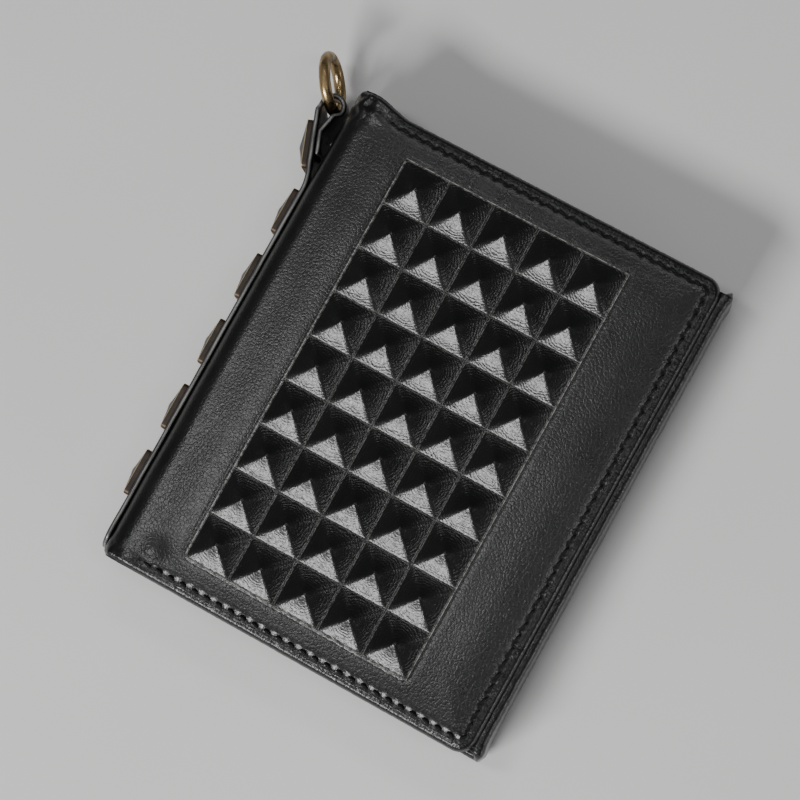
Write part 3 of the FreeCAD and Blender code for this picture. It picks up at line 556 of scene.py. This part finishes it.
def cover_leather(name, front):
    """One cover's leather with its half of the spine: pressed field, sewn edge, turned rim.

    Built as the front; the back is the same hide mirrored through the thickness."""
    edge = FRONT_EDGE if front else BACK_EDGE
    corner = FRONT_CORNER if front else BACK_CORNER
    fold_x = SPINE_X + FOLD
    spine_run = MIDDLE_Z - FOLD
    arc_run = FOLD * math.pi / 2
    flat_start = spine_run + arc_run
    fine = 0.275 * MM if front else 0.4 * MM
    medium = 0.5 * MM if front else 0.4 * MM
    flat = flat_start - fold_x
    s_lines = lines_between(
        [
            (0.0, 1),
            (spine_run, 0.8 * MM),
            (flat_start, 0.45 * MM),
            (relief_low.x - FIELD_MARGIN + flat, medium),
            (relief_high.x + FIELD_MARGIN + flat, fine),
            (edge - 6.0 * MM + flat, medium),
            (edge - RIM + flat, 0.3 * MM),
        ]
    )
    half = TOP_Y - RIM
    y_lines = lines_between(
        [
            (-half, 1),
            (-TOP_Y + 5.0 * MM, 0.3 * MM),
            (relief_low.y - FIELD_MARGIN, medium),
            (relief_high.y + FIELD_MARGIN, fine),
            (TOP_Y - 5.0 * MM, medium),
            (half, 0.3 * MM),
        ]
    )
    s, y = np.meshgrid(s_lines, y_lines, indexing="ij")
    angle = math.pi - np.clip((s - spine_run) / FOLD, 0, math.pi / 2)
    fold_xs = fold_x + FOLD * np.cos(angle)
    fold_zs = THICK - FOLD + FOLD * np.sin(angle)
    x = np.where(s < spine_run, SPINE_X, np.where(s < flat_start, fold_xs, s - flat))
    z = np.where(s < spine_run, MIDDLE_Z + s, np.where(s < flat_start, fold_zs, THICK))
    # round the free corners of the patch
    bend = corner - RIM
    if bend > 0.2 * MM:
        for side in (1, -1):
            a = (x - (edge - corner)) / bend
            b = (side * y - (TOP_Y - corner)) / bend
            in_corner = (a > 0) & (b > 0)
            a1 = a * np.sqrt(np.clip(1 - b * b / 2, 0, 1))
            b1 = b * np.sqrt(np.clip(1 - a * a / 2, 0, 1))
            x = np.where(in_corner, edge - corner + a1 * bend, x)
            y = np.where(in_corner, side * (TOP_Y - corner + b1 * bend), y)
    normal = np.stack([np.cos(angle), np.zeros_like(x), np.sin(angle)], -1)
    inset = outline_inset(x, y, edge, corner)
    lift = sewn_dents(x, y, inset, edge, corner)
    if front:
        on_top = z > THICK - 1e-9
        lift = lift + np.where(on_top, pyramid_field(x, y) + field_border(x, y), 0)
    lift = lift + soft_form(s, x, y, inset, flat_start)
    # the spine stays inside its strap and flat on the table when the wallet is open
    lift = np.where(s < spine_run + 1.5 * MM, np.minimum(lift, 0), lift)
    points = np.stack([x, y, z], -1) + normal * lift[..., None]
    # the leather is fuller at the upper end of the fold
    full = smoothstep(flat_start + 9 * MM, flat_start - 1 * MM, s)
    full = full * smoothstep(TOP_Y - 9 * MM, half, y)
    points[..., 1] += 1.7 * MM * full
    return close_cover(name, front, points, normal, x, y, edge, corner, s, flat_start)


def soft_form(s, x, y, inset, flat_start):
    """The slow shapes of handled leather: a low crown, the eased fold, bunching at its ends."""
    fall = np.clip(1 - inset / (13 * MM), 0, 1) ** 2
    crown = -0.95 * MM * fall * smoothstep(SPINE_X + 6 * MM, SPINE_X + 16 * MM, x)
    shape = x.shape
    spots = np.stack([s.ravel(), y.ravel(), np.zeros(s.size)], 1)
    coarse = np.array([noise.noise(Vector(p) / (13 * MM)) for p in spots]).reshape(shape)
    eased = smoothstep(flat_start - FOLD * 1.5, flat_start - 1 * MM, s)
    eased = eased * smoothstep(flat_start + 10 * MM, flat_start - 1 * MM, s)
    rolled = -0.40 * MM * np.clip(1 - (inset - RIM) / (1.4 * MM), 0, 1)
    rolled = rolled * smoothstep(SPINE_X + 6 * MM, SPINE_X + 10 * MM, x)
    result = crown + rolled - 0.6 * MM * eased + 0.10 * MM * coarse
    # a dimple where the seam begins at the lower end of the fold
    from_start = np.hypot(x - (SPINE_X + 10.5 * MM), y + (TOP_Y - 5.5 * MM))
    dimple = 0.55 * MM * np.exp(-((from_start / (3.2 * MM)) ** 2))
    result = result - dimple * (s > flat_start - 3 * MM)
    ends = smoothstep(TOP_Y - 9 * MM, TOP_Y - 1.5 * MM, np.abs(y))
    near_fold = smoothstep(flat_start + 7 * MM, flat_start - 2 * MM, s)
    lumps = [noise.noise(Vector((p[0] / (2.6 * MM), p[1] / (1.7 * MM), 4.0))) for p in spots]
    crumple = np.array(lumps).reshape(shape)
    deep = np.where(y > 0, 0.85 * MM, 0.3 * MM)
    return result + ends * near_fold * deep * crumple


def inset_of_patch(x, y, edge, corner):
    """1 on the band between the stitches and the edge, 0 elsewhere; none near the spine."""
    band = smoothstep(STITCH_INSET - 0.2 * MM, 1.6 * MM, outline_inset(x, y, edge, corner))
    return band * smoothstep(SPINE_X + 6 * MM, SPINE_X + 12 * MM, x)


def edge_rings(front, side_share, far):
    """The turned edge in section: (sideways, down) of each ring of points round the open sides."""
    if front:
        depth = 1.9 * MM + far * 1.5 * MM
    else:
        depth = 1.9 * MM + far * (1.1 * MM + side_share * (roll_high.z - 2.0 * MM))
    steps = 6
    rings = []
    for k in range(1, steps + 1):
        angle = math.pi / 2 * k / steps
        over = np.full(len(far), RIM * math.sin(angle))
        rings.append((over, np.full(len(far), RIM * (1 - math.cos(angle)))))
    lower = 1.1 * MM + (0.0 if front else 0.65 * MM) * side_share
    turn = math.pi / 2 * (1 + (0.0 if front else 0.9) * side_share)
    straight = depth - RIM - lower
    for k in range(1, steps + 1):
        share = k / steps
        bulge = 0.16 * MM * math.sin(math.pi * share)
        swollen = 0.0 if front else 0.5 * MM * share**3
        rings.append((RIM + bulge + swollen * side_share, RIM + straight * share))
    top = RIM + swollen * side_share
    arc_steps = 8
    for k in range(1, arc_steps + 1):
        angle = turn * k / arc_steps
        down = RIM + straight + lower * np.sin(angle)
        rings.append((top - lower * (1 - np.cos(angle)), down))
    # the roll's inner side comes down to the pocket again; the other sides turn in under the cover
    inner_side = np.zeros(len(far)) if front else side_share
    inner_foot = 4.6 * MM
    for inward, share in ((1.0 * MM, 0.5), (2.5 * MM, 1.0)):
        sideways, down = rings[-1]
        hidden = np.where(inner_side > 0, 0.12, 1 - 0.6 * side_share)
        rings.append((sideways - inward * hidden, down + (inner_foot - down) * share * inner_side))
    return rings


def outward_of(lx, ly, edge, corner):
    """Unit vectors that point out of the cover, square to its outline, at points of the outline."""
    dx = np.maximum(lx - (edge - corner), 0)
    dy = np.sign(ly) * np.maximum(np.abs(ly) - (TOP_Y - corner), 0)
    out = np.stack([dx, dy, np.zeros_like(dx)], 1)
    on_end = np.abs(lx - (edge - RIM)) > 0.02 * MM
    plain = (np.linalg.norm(out, axis=1) < 1e-9) | ((dx < 1e-9) & on_end)
    out[plain & on_end, 0] = 0
    out[plain & on_end, 1] = np.sign(ly[plain & on_end])
    out[plain & ~on_end] = (1, 0, 0)
    return out / np.linalg.norm(out, axis=1)[:, None]


def close_cover(name, front, points, normal, x, y, edge, corner, s, flat_start):
    """Turns the patch's three free sides over the layers inside, and makes the mesh."""
    rows, columns = x.shape
    order = [(i, 0) for i in range(rows)]
    order += [(rows - 1, j) for j in range(1, columns)]
    order += [(i, columns - 1) for i in range(rows - 2, -1, -1)]
    index = np.arange(rows * columns).reshape(rows, columns)
    loop = np.array([index[i, j] for i, j in order])
    flat_points = points.reshape(-1, 3)
    ly = y.reshape(-1)[loop]
    ls = s.reshape(-1)[loop]
    base = flat_points[loop]
    up = normal.reshape(-1, 3)[loop]
    out = outward_of(x.reshape(-1)[loop], ly, edge, corner)
    side_share = smoothstep(0.3, 0.9, out[:, 0])
    far = smoothstep(flat_start - 2 * MM, flat_start + 9 * MM, ls)
    rings = edge_rings(front, side_share, far)
    stack = [base]
    run = np.concatenate([[0], np.cumsum(np.linalg.norm(np.diff(base, axis=0), axis=1))])
    layer = 7.0 if front else 9.0
    last_shaped = len(rings) - 2
    for number, (sideways, down) in enumerate(rings):
        place = base + out * sideways[:, None] - up * down[:, None]
        if number < last_shaped:
            wrinkle = np.array(
                [
                    noise.noise(Vector((r / (0.75 * MM), d / (7.0 * MM), layer)))
                    + 0.7 * noise.noise(Vector((r / (3.5 * MM), d / (4.0 * MM), 2.0)))
                    for r, d in zip(run, down)
                ]
            )
            share = math.sin(math.pi * min(1, (number + 1) / last_shaped))
            amount = 0.05 * MM + 0.10 * MM * side_share * (0 if front else 1)
            place = place + out * (wrinkle * amount * share)[:, None]
            if not front:
                from_knob = (np.abs(ly) - (TOP_Y - 2.2 * MM)) / (1.6 * MM)
                knob = np.exp(-(from_knob**2)) * side_share
                place = place + out * (knob * 0.45 * MM * share)[:, None]
                place = place - up * (knob * 0.5 * MM * share)[:, None]
        stack.append(place)
    vertices = [flat_points]
    faces = []
    for i in range(rows - 1):
        for j in range(columns - 1):
            faces.append((index[i, j], index[i + 1, j], index[i + 1, j + 1], index[i, j + 1]))
    previous = loop
    total = rows * columns
    for ring in stack[1:]:
        vertices.append(ring)
        current = np.arange(total, total + len(loop))
        total += len(loop)
        for k in range(len(loop) - 1):
            faces.append((previous[k + 1], previous[k], current[k], current[k + 1]))
        previous = current
    everything = np.concatenate(vertices)
    if not front:
        everything[:, 2] = np.maximum(THICK - everything[:, 2], 0)
        faces = [face[::-1] for face in faces]
    piece = mesh_piece(name, everything, faces)
    # the back has no pressed field, so its leather counts as far outside one
    panel_u = panel_v = np.full(total, -9.0)
    if front:
        panel_u = (everything[:, 0] - relief_low.x) / PITCH
        panel_v = (everything[:, 1] - relief_low.y) / PITCH
    ring_side = np.tile(side_share, len(rings))
    turned = inset_of_patch(x, y, edge, corner)
    side_patch = turned * (x > edge - corner)
    end_patch = turned * (np.abs(y) > TOP_Y - corner) * (x < edge - corner)
    add_attribute(piece, "side_rim", np.concatenate([side_patch.ravel(), ring_side]))
    add_attribute(piece, "end_rim", np.concatenate([end_patch.ravel(), 1 - ring_side]))
    add_attribute(piece, "panel_u", panel_u)
    add_attribute(piece, "panel_v", panel_v)
    piece.data.materials.append(OUTER)
    return piece


front_leather = cover_leather("front_leather", True)
back_leather = cover_leather("back_leather", False)
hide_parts("front_cover")
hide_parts("back_cover", "back_edge_roll", "spine_leather")
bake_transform(front_leather)
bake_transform(back_leather)


# ---------------- stitches


def sewn_thread(name, centres, directions, surfaces, upwards, body):
    """Stitches at these spots: slanted, domed, their ends pulled down into the leather.

    surfaces gives the leather's height at each spot; upwards is False for one that faces down."""
    radius = 0.34 * MM
    slant = math.radians(-13)
    rings = 9
    sides = 8
    vertices = []
    faces = []
    face = 1 if upwards else -1
    for number, ((cx, cy), (dx, dy), surface) in enumerate(zip(centres, directions, surfaces)):
        turn = slant + math.radians(3) * noise.noise(Vector((number * 0.7, 1.5, 0)))
        tx = dx * math.cos(turn) - dy * math.sin(turn)
        ty = dx * math.sin(turn) + dy * math.cos(turn)
        first = len(vertices)
        for k in range(rings):
            t = 2 * k / (rings - 1) - 1
            rise = 0.3 * MM * (1 - t * t) - 0.06 * MM
            thick = radius * math.sqrt(max(1 - abs(t) ** 4, 0.05))
            for m in range(sides):
                a = 2 * math.pi * m / sides
                across = thick * math.cos(a)
                vertices.append(
                    (
                        cx + tx * t * STITCH_LENGTH / 2 - ty * across,
                        cy + ty * t * STITCH_LENGTH / 2 + tx * across,
                        surface + face * (rise + thick * 0.8 * math.sin(a)),
                    )
                )
        faces += skin(rings, sides, first)
        faces.append(tuple(first + m for m in range(sides))[::-1])
        faces.append(tuple(first + (rings - 1) * sides + m for m in range(sides)))
    if not upwards:
        faces = [corners[::-1] for corners in faces]
    piece = mesh_piece(name, np.array(vertices), faces)
    piece.data.materials.append(THREAD)
    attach(piece, body)
    return piece


def cover_stitches(name, front, body, node):
    """The seam round three sides of one cover."""
    edge = FRONT_EDGE if front else BACK_EDGE
    corner = FRONT_CORNER if front else BACK_CORNER
    centres, directions = stitch_line(edge, corner)
    sunk = 0.62 * MM
    surface = THICK - sunk if front else sunk
    piece = sewn_thread(name, centres, directions, [surface] * len(centres), front, body)
    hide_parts(node)


def straight_seams(name, chains, height_at, upwards, body):
    """Seams from corner to corner of each chain; height_at gives the leather's height there."""
    spots = []
    headings = []
    for (x0, y0), (x1, y1) in [run for chain in chains for run in zip(chain, chain[1:])]:
        length = math.hypot(x1 - x0, y1 - y0)
        count = int(length / STITCH_PITCH)
        for k in range(count):
            share = (k + 0.5) / count
            spots.append((x0 + (x1 - x0) * share, y0 + (y1 - y0) * share))
            headings.append(((x1 - x0) / length, (y1 - y0) / length))
    surfaces = [height_at(x, y) for x, y in spots]
    sewn_thread(name, spots, headings, surfaces, upwards, body)


def slip_height(x, y):
    """Height of the lowest card slip or panel over this spot, as the closed wallet lies."""
    for node in ("card_slip_4", "card_slip_3", "card_slip_2", "card_slip_1"):
        low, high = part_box(node)
        if y < high[1]:
            return low[2]
    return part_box("bill_panel_front")[0][2]


cover_stitches("front_stitches", True, "front", "front_stitching")
cover_stitches("back_stitches", False, "back", "back_stitching")
SEAM = 2.2 * MM


def seam_sides(low, high):
    """Left, right, foot and head of a seam that runs inside these corners."""
    return low.x + SEAM, high.x - SEAM, low.y + SEAM, high.y - SEAM


left, right, foot, _ = seam_sides(*corners_of(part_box("card_slip_4")))
head = corners_of(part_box("bill_panel_front"))[1].y - SEAM
slip_chain = ((left, head), (left, foot), (right, foot), (right, head))
straight_seams("card_slip_stitches", [slip_chain], slip_height, False, "front")
coin_low, coin_high = corners_of(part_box("coin_panel_outer"))
left, right, foot, head = seam_sides(coin_low, coin_high)
coin_chain = ((left, foot), (left, head), (right, head), (right, foot), (left, foot))
_, right, foot, head = seam_sides(*corners_of(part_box("coin_panel_inner")))
lip_chain = ((right, foot), (right, head))
straight_seams(
    "coin_pocket_stitches", [coin_chain, lip_chain], lambda x, y: coin_high.z, True, "back"
)


# ---------------- inner leather


def softened(node, segments, body, sway):
    """A copy of a CAD node's mesh with its edges rounded, finer faces and a slight unevenness."""
    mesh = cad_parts[node].data.copy()
    mesh.name = node + "_leather"
    piece = bpy.data.objects.new(node + "_leather", mesh)
    bpy.context.scene.collection.objects.link(piece)
    form = bmesh.new()
    form.from_mesh(mesh)
    bmesh.ops.remove_doubles(form, verts=form.verts, dist=0.002 * MM)
    flat_enough = math.radians(1.0)
    bmesh.ops.dissolve_limit(form, angle_limit=flat_enough, verts=form.verts, edges=form.edges)
    joined = [e for e in form.edges if len(e.link_faces) == 2]
    sharp = [e for e in joined if e.calc_face_angle(0) > math.radians(22)]
    bmesh.ops.bevel(
        form,
        geom=sharp,
        offset=0.25 * MM,
        segments=segments,
        profile=0.6,
        affect="EDGES",
        clamp_overlap=True,
    )
    for _ in range(7):
        long_edges = [e for e in form.edges if e.calc_length() > 6 * MM]
        if not long_edges:
            break
        bmesh.ops.subdivide_edges(form, edges=long_edges, cuts=1, use_grid_fill=True)
    bmesh.ops.triangulate(form, faces=[f for f in form.faces if len(f.verts) > 4])
    form.normal_update()
    for vertex in form.verts:
        lift = noise.noise(vertex.co / (16 * MM)) + 0.3 * noise.noise(vertex.co / (5 * MM))
        vertex.co += vertex.normal * sway * lift
    form.to_mesh(mesh)
    form.free()
    mesh.materials.clear()
    mesh.materials.append(INNER)
    mesh.polygons.foreach_set("use_smooth", [True] * len(mesh.polygons))
    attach(piece, body)
    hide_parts(node)


# ---------------- strap, studs and ring

STRAP_THICK = 1.2 * MM
STRAP_HALF = (strap_high.z - strap_low.z) / 2
BEND = math.radians(21)
BEND_START = 33.2 * MM
BEND_RADIUS = 12 * MM
LOOP_RADIUS = 2.55 * MM
RING_WIRE = 2.6 * MM
RING_OUTER = 15.1 * MM
# from the end of the bend to the loop's turn, and to where the two plies meet
LOOP_REACH = 16 * MM
LOOP_MERGE = 9.4 * MM
# how far the tail lies along the strap, and its distance from the first ply, middle to middle
LOOP_TAIL = 5.4 * MM
PLY_STEP = 1.3 * MM
# corner radius of the strap's lower end
TIP_RADIUS = 4 * MM
# Y between which the strap narrows to the loop, and half its width there
SHOULDER_START = 50.7 * MM
SHOULDER_END = 53.2 * MM
LOOP_HALF = 2.5 * MM
# the top stud's place along the strap, from Y = 0
TOP_STUD = 44 * MM
RING_SWING = math.radians(33)
RING_LEAN = math.radians(8)
along = Vector((-math.sin(BEND), math.cos(BEND), 0))
inward = Vector((along.y, -along.x, 0))
bend_foot = Vector((SPINE_X - STRAP_THICK / 2, BEND_START, 0))
bend_end = bend_foot + BEND_RADIUS * Vector((math.cos(BEND) - 1, math.sin(BEND), 0))
loop_centre = bend_end + along * LOOP_REACH + inward * LOOP_RADIUS


def strap_path():
    """Points along the middle of the strap: up the spine, outwards, round the loop and back."""
    foot = bend_end + along * LOOP_MERGE + inward * PLY_STEP
    to_centre = loop_centre - foot
    slope = math.atan2(to_centre.dot(inward), to_centre.dot(along))
    slope += math.asin(LOOP_RADIUS / to_centre.length)
    tangent = along * math.cos(slope) + inward * math.sin(slope)
    touch = foot + tangent * math.sqrt(to_centre.length**2 - LOOP_RADIUS**2)
    points = [Vector((bend_foot.x, strap_low.y, 0))]
    for share in (0.12, 0.35, 0.8, 1.5, 2.4, 3.2, 4.0):
        points.append(Vector((bend_foot.x, strap_low.y + share * MM, 0)))
    points += [Vector((bend_foot.x, strap_low.y + (4 + 1.5 * k) * MM, 0)) for k in range(1, 57)]
    points = [p for p in points if p.y < BEND_START - 0.5 * MM]
    for k in range(9):
        angle = BEND * k / 8
        points.append(bend_foot + BEND_RADIUS * Vector((math.cos(angle) - 1, math.sin(angle), 0)))
    points += [bend_end + along * LOOP_REACH * k / 20 for k in range(1, 20)]
    start = math.atan2(-inward.y, -inward.x)
    finish = math.atan2((touch - loop_centre).y, (touch - loop_centre).x)
    while finish > start:
        finish -= 2 * math.pi
    for k in range(25):
        angle = start + (finish - start) * k / 24
        points.append(loop_centre + LOOP_RADIUS * Vector((math.cos(angle), math.sin(angle), 0)))
    points += [touch.lerp(foot, k / 10) for k in range(1, 10)]
    points += [foot - along * LOOP_TAIL * k / 8 for k in range(9)]
    return points


def build_strap():
    """The strap: rounded burnished edges that carry a painted highlight, a rounded tongue, narrow
    shoulders at the loop.
    """
    path = strap_path()
    rows = []
    edge_highlight = []
    for number, point in enumerate(path):
        before = path[max(number - 1, 0)]
        after = path[min(number + 1, len(path) - 1)]
        heading = (after - before).normalized()
        side = Vector((heading.y, -heading.x, 0))
        narrow = float(smoothstep(SHOULDER_START, SHOULDER_END, point.y))
        half = STRAP_HALF - (STRAP_HALF - LOOP_HALF) * narrow
        from_tip = point.y - strap_low.y
        if from_tip < TIP_RADIUS:
            rounded = max(TIP_RADIUS**2 - (TIP_RADIUS - from_tip) ** 2, 0)
            half = STRAP_HALF - TIP_RADIUS + math.sqrt(rounded)
        thick = STRAP_THICK / 2
        if number in (0, len(path) - 1):
            thick *= 0.45
        corner = thick * 0.85
        ring = []
        marks = []
        for sign in (1, -1):
            for k in range(7):
                angle = math.pi * k / 6
                out = half - corner + corner * math.sin(angle)
                ring.append((sign * thick * math.cos(angle), sign * out))
                # how strongly this point of the rounded edge takes the painted highlight
                marks.append(max(0.0, math.sin(angle)) ** 2)
            for k in range(1, 6):
                ring.append((-sign * thick, sign * (half - corner) * (1 - 2 * k / 6)))
                marks.append(0.0)
        for across, up in ring:
            wave = 0.06 * MM * noise.noise(Vector((number * 0.35, up / (3 * MM), 0.4)))
            place = point + side * (across + wave)
            rows.append((place.x, place.y, MIDDLE_Z + up))
        edge_highlight += marks
    count = len(ring)
    faces = skin(len(path), count)
    last = (len(path) - 1) * count
    faces.append(tuple(range(count))[::-1])
    faces.append(tuple(range(last, last + count)))
    piece = mesh_piece("studded_strap", np.array(rows), faces)
    face_outwards(piece)
    add_attribute(piece, "edge_highlight", edge_highlight)
    piece.data.materials.append(STRAP)
    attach(piece, "spine")
    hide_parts("spine_strap")


build_strap()

# out from the strap in mm, half width in mm, how rubbed: partly real wear, partly painted highlight
# on the rim and near the tip
STUD_PROFILE = (
    (0.0, 5.30, 0.0),
    (0.05, 5.46, 0.0),
    (0.35, 5.50, 0.0),
    (0.9, 5.50, 0.0),
    (1.24, 5.50, 0.0),
    (1.34, 5.50, 1.0),
    (1.43, 5.40, 1.0),
    (1.47, 5.27, 0.5),
    (1.52, 5.05, 0.0),
    (1.78, 4.30, 0.0),
    (2.15, 3.20, 0.0),
    (2.53, 2.10, 0.0),
    (2.90, 1.10, 0.05),
    (3.15, 0.55, 0.45),
    (3.30, 0.22, 0.9),
)


def build_stud(number):
    """One pyramid stud: upright skirt, rolled rim painted bright as part wear and part highlight,
    four faces and a blunt tip.
    """
    low, high = corners_of(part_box("spine_stud_%d" % number))
    tilt = BEND if number == 1 else 0.0
    outward = Vector((-math.cos(tilt), -math.sin(tilt), 0))
    along_strap = Vector((-math.sin(tilt), math.cos(tilt), 0))
    if tilt:
        past_bend = TOP_STUD - BEND_START - BEND * BEND_RADIUS
        base = bend_end + along * past_bend + outward * STRAP_THICK / 2
    else:
        base = Vector((SPINE_X - STRAP_THICK, (low.y + high.y) / 2, 0))
    base.z = MIDDLE_Z
    twist = math.radians(1.6) * noise.noise(Vector((number * 1.3, 0.2, 0.7)))
    cosine, sine = math.cos(twist), math.sin(twist)
    per_side = 12
    rows = []
    wear_and_highlight = []
    for out, half, rub_and_highlight in STUD_PROFILE:
        for k in range(4 * per_side):
            side, step = divmod(k, per_side)
            t = 2 * step / per_side - 1
            a, b = ((1, t), (-t, 1), (-1, -t), (t, -1))[side]
            # corners slightly rounded
            pull = 1 - 0.035 * abs(t) ** 10
            a, b = a * half * pull, b * half * pull
            a, b = a * cosine - b * sine, a * sine + b * cosine
            place = base + outward * out * MM + along_strap * a * MM + Vector((0, 0, b * MM))
            dent = 0.03 * MM * noise.noise(place / (1.5 * MM))
            place += outward * dent
            rows.append(tuple(place))
            # the section's corners, the pyramid's ridges, painted brighter: part wear, part painted
            # highlight
            ridge = abs(t) ** 14 * 0.6 if out > 1.4 else abs(t) ** 14 * 0.35
            wear_and_highlight.append(min(1.0, rub_and_highlight + ridge))
    count = 4 * per_side
    faces = skin(len(STUD_PROFILE), count)
    last = (len(STUD_PROFILE) - 1) * count
    tip = base + outward * 3.34 * MM
    rows.append(tuple(tip))
    # the tip painted bright: part wear, part painted highlight
    wear_and_highlight.append(0.9)
    faces += [(last + k, last + (k + 1) % count, len(rows) - 1) for k in range(count)]
    faces.append(tuple(range(count))[::-1])
    piece = mesh_piece("stud_%d" % number, np.array(rows), faces)
    face_outwards(piece)
    add_attribute(piece, "wear_and_highlight", wear_and_highlight)
    piece.data.materials.append(BRASS)
    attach(piece, "spine")
    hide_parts("spine_stud_%d" % number)


for number in range(1, 7):
    build_stud(number)


def build_ring():
    """The chain ring: round wire, worn bright where the chain and the loop rub."""
    low, high = corners_of(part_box("chain_ring"))
    centre = (low + high) / 2
    outward = Vector((-math.sin(RING_SWING), math.cos(RING_SWING), 0))
    sideways = Vector((-math.cos(RING_SWING), -math.sin(RING_SWING), 0))
    upward = Vector((0, 0, math.cos(RING_LEAN))) + sideways * math.sin(RING_LEAN)
    axis = outward.cross(upward)
    radius = (RING_OUTER - RING_WIRE) / 2
    around = 96
    sides = 28
    rows = []
    wear_and_highlight = []
    for k in range(around):
        angle = 2 * math.pi * k / around
        spoke = outward * math.cos(angle) + upward * math.sin(angle)
        for m in range(sides):
            turn = 2 * math.pi * m / sides
            normal = spoke * math.cos(turn) + axis * math.sin(turn)
            place = centre + spoke * radius + normal * RING_WIRE / 2
            place += normal * 0.03 * MM * noise.noise(place / (1.1 * MM))
            rows.append(tuple(place))
            # rubbed most where it hangs in the loop
            rub_and_highlight = 0.32 + 0.3 * max(0.0, -math.cos(angle))
            wear_and_highlight.append(rub_and_highlight + 0.25 * noise.noise(place / (1.8 * MM)))
    piece = mesh_piece("wallet_ring", np.array(rows), skin(around, sides, closed=True))
    face_outwards(piece)
    add_attribute(piece, "wear_and_highlight", wear_and_highlight)
    piece.data.materials.append(RING_BRASS)
    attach(piece, "ring")
    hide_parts("chain_ring")


build_ring()

card_slips = ["card_slip_%d" % number for number in range(1, 5)]
for node in card_slips + ["bill_panel_front", "front_edge_hem"]:
    softened(node, 3, "front", 0.05 * MM)
for node in ("bill_panel_back", "coin_panel_inner", "coin_panel_outer"):
    softened(node, 3, "back", 0.05 * MM)
for side in ("top", "bottom", "side", "spine"):
    softened("coin_gusset_" + side, 2, "back", 0.04 * MM)


def repaint(paint, *nodes):
    """Gives CAD nodes a finished material."""
    for node in nodes:
        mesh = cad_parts[node].data
        mesh.materials.clear()
        mesh.materials.append(paint)


repaint(BOARD, "back_board", "front_board")
repaint(FORMER, "relief_insert")
repaint(LINING, "back_lining", "front_lining", "spine_lining")
repaint(THREAD, "loop_thread")
repaint(TAPE, "zip_tape_left", "zip_tape_right")
repaint(ZIP_METAL, "zip_teeth_left", "zip_teeth_right", "zip_slider", "zip_pull")


# ---------------- floor, light and camera


def add_floor():
    """A wide pale floor under the wallet."""
    size = 1.5
    corners = [(-size, -size, 0), (size, -size, 0), (size, size, 0), (-size, size, 0)]
    floor = mesh_piece("floor", np.array(corners), [(0, 1, 2, 3)], smooth=False)
    floor.location.z = -0.05 * MM
    floor.data.materials.append(floor_paint())


def soft_light(name, place, width, height, power, aim=(0, 0, 0)):
    """A rectangular softbox pointed at a spot."""
    data = bpy.data.lights.new(name, "AREA")
    data.shape = "RECTANGLE"
    data.size = width
    data.size_y = height
    data.energy = power
    light = bpy.data.objects.new(name, data)
    light.location = place
    direction = Vector(aim) - Vector(place)
    light.rotation_euler = direction.to_track_quat("-Z", "Y").to_euler()
    bpy.context.scene.collection.objects.link(light)


def add_world(strength):
    """Even, dim room light."""
    world = bpy.data.worlds.new("room")
    world.use_nodes = True
    background = world.node_tree.nodes["Background"]
    background.inputs["Color"].default_value = (0.9, 0.93, 1.0, 1)
    background.inputs["Strength"].default_value = strength
    bpy.context.scene.world = world


def add_camera():
    """Looks down from the open side, turned so that the spine runs up and to the right."""
    azimuth = math.radians(-22.4)
    elevation = math.radians(79.3)
    roll = math.radians(-38.9)
    distance = 0.6
    target = Vector((-5.2 * MM, 3.1 * MM, 10 * MM))
    level = math.cos(elevation)
    outward = Vector((level * math.cos(azimuth), level * math.sin(azimuth), math.sin(elevation)))
    right = (-outward).cross(Vector((0, 0, 1))).normalized()
    up = right.cross(-outward)
    turned_right = right * math.cos(roll) + up * math.sin(roll)
    turned_up = up * math.cos(roll) - right * math.sin(roll)
    data = bpy.data.cameras.new("camera")
    data.lens = 123.3
    data.sensor_width = 36
    data.clip_end = 20
    camera = bpy.data.objects.new("camera", data)
    place = target + outward * distance
    camera.matrix_world = Matrix.Translation(place) @ Matrix(
        (turned_right, turned_up, outward)
    ).transposed().to_4x4()
    bpy.context.scene.collection.objects.link(camera)
    bpy.context.scene.camera = camera


add_floor()
add_world(0.12)
soft_light("key", (-0.17, -0.83, 0.69), 0.5, 0.2, 12.5, aim=(0, 0, 0.01))
soft_light("overhead", (-0.32, -0.06, 1.15), 0.14, 0.3, 2.2)
soft_light("right", (0.37, 0.06, 0.85), 0.1, 0.3, 0.8)
soft_light("back", (-0.15, 0.5, 0.86), 0.5, 0.07, 0.9)
soft_light("side", (0.9, -0.1, 0.13), 0.6, 0.07, 2.0, aim=(0, 0, 0.01))
add_camera()
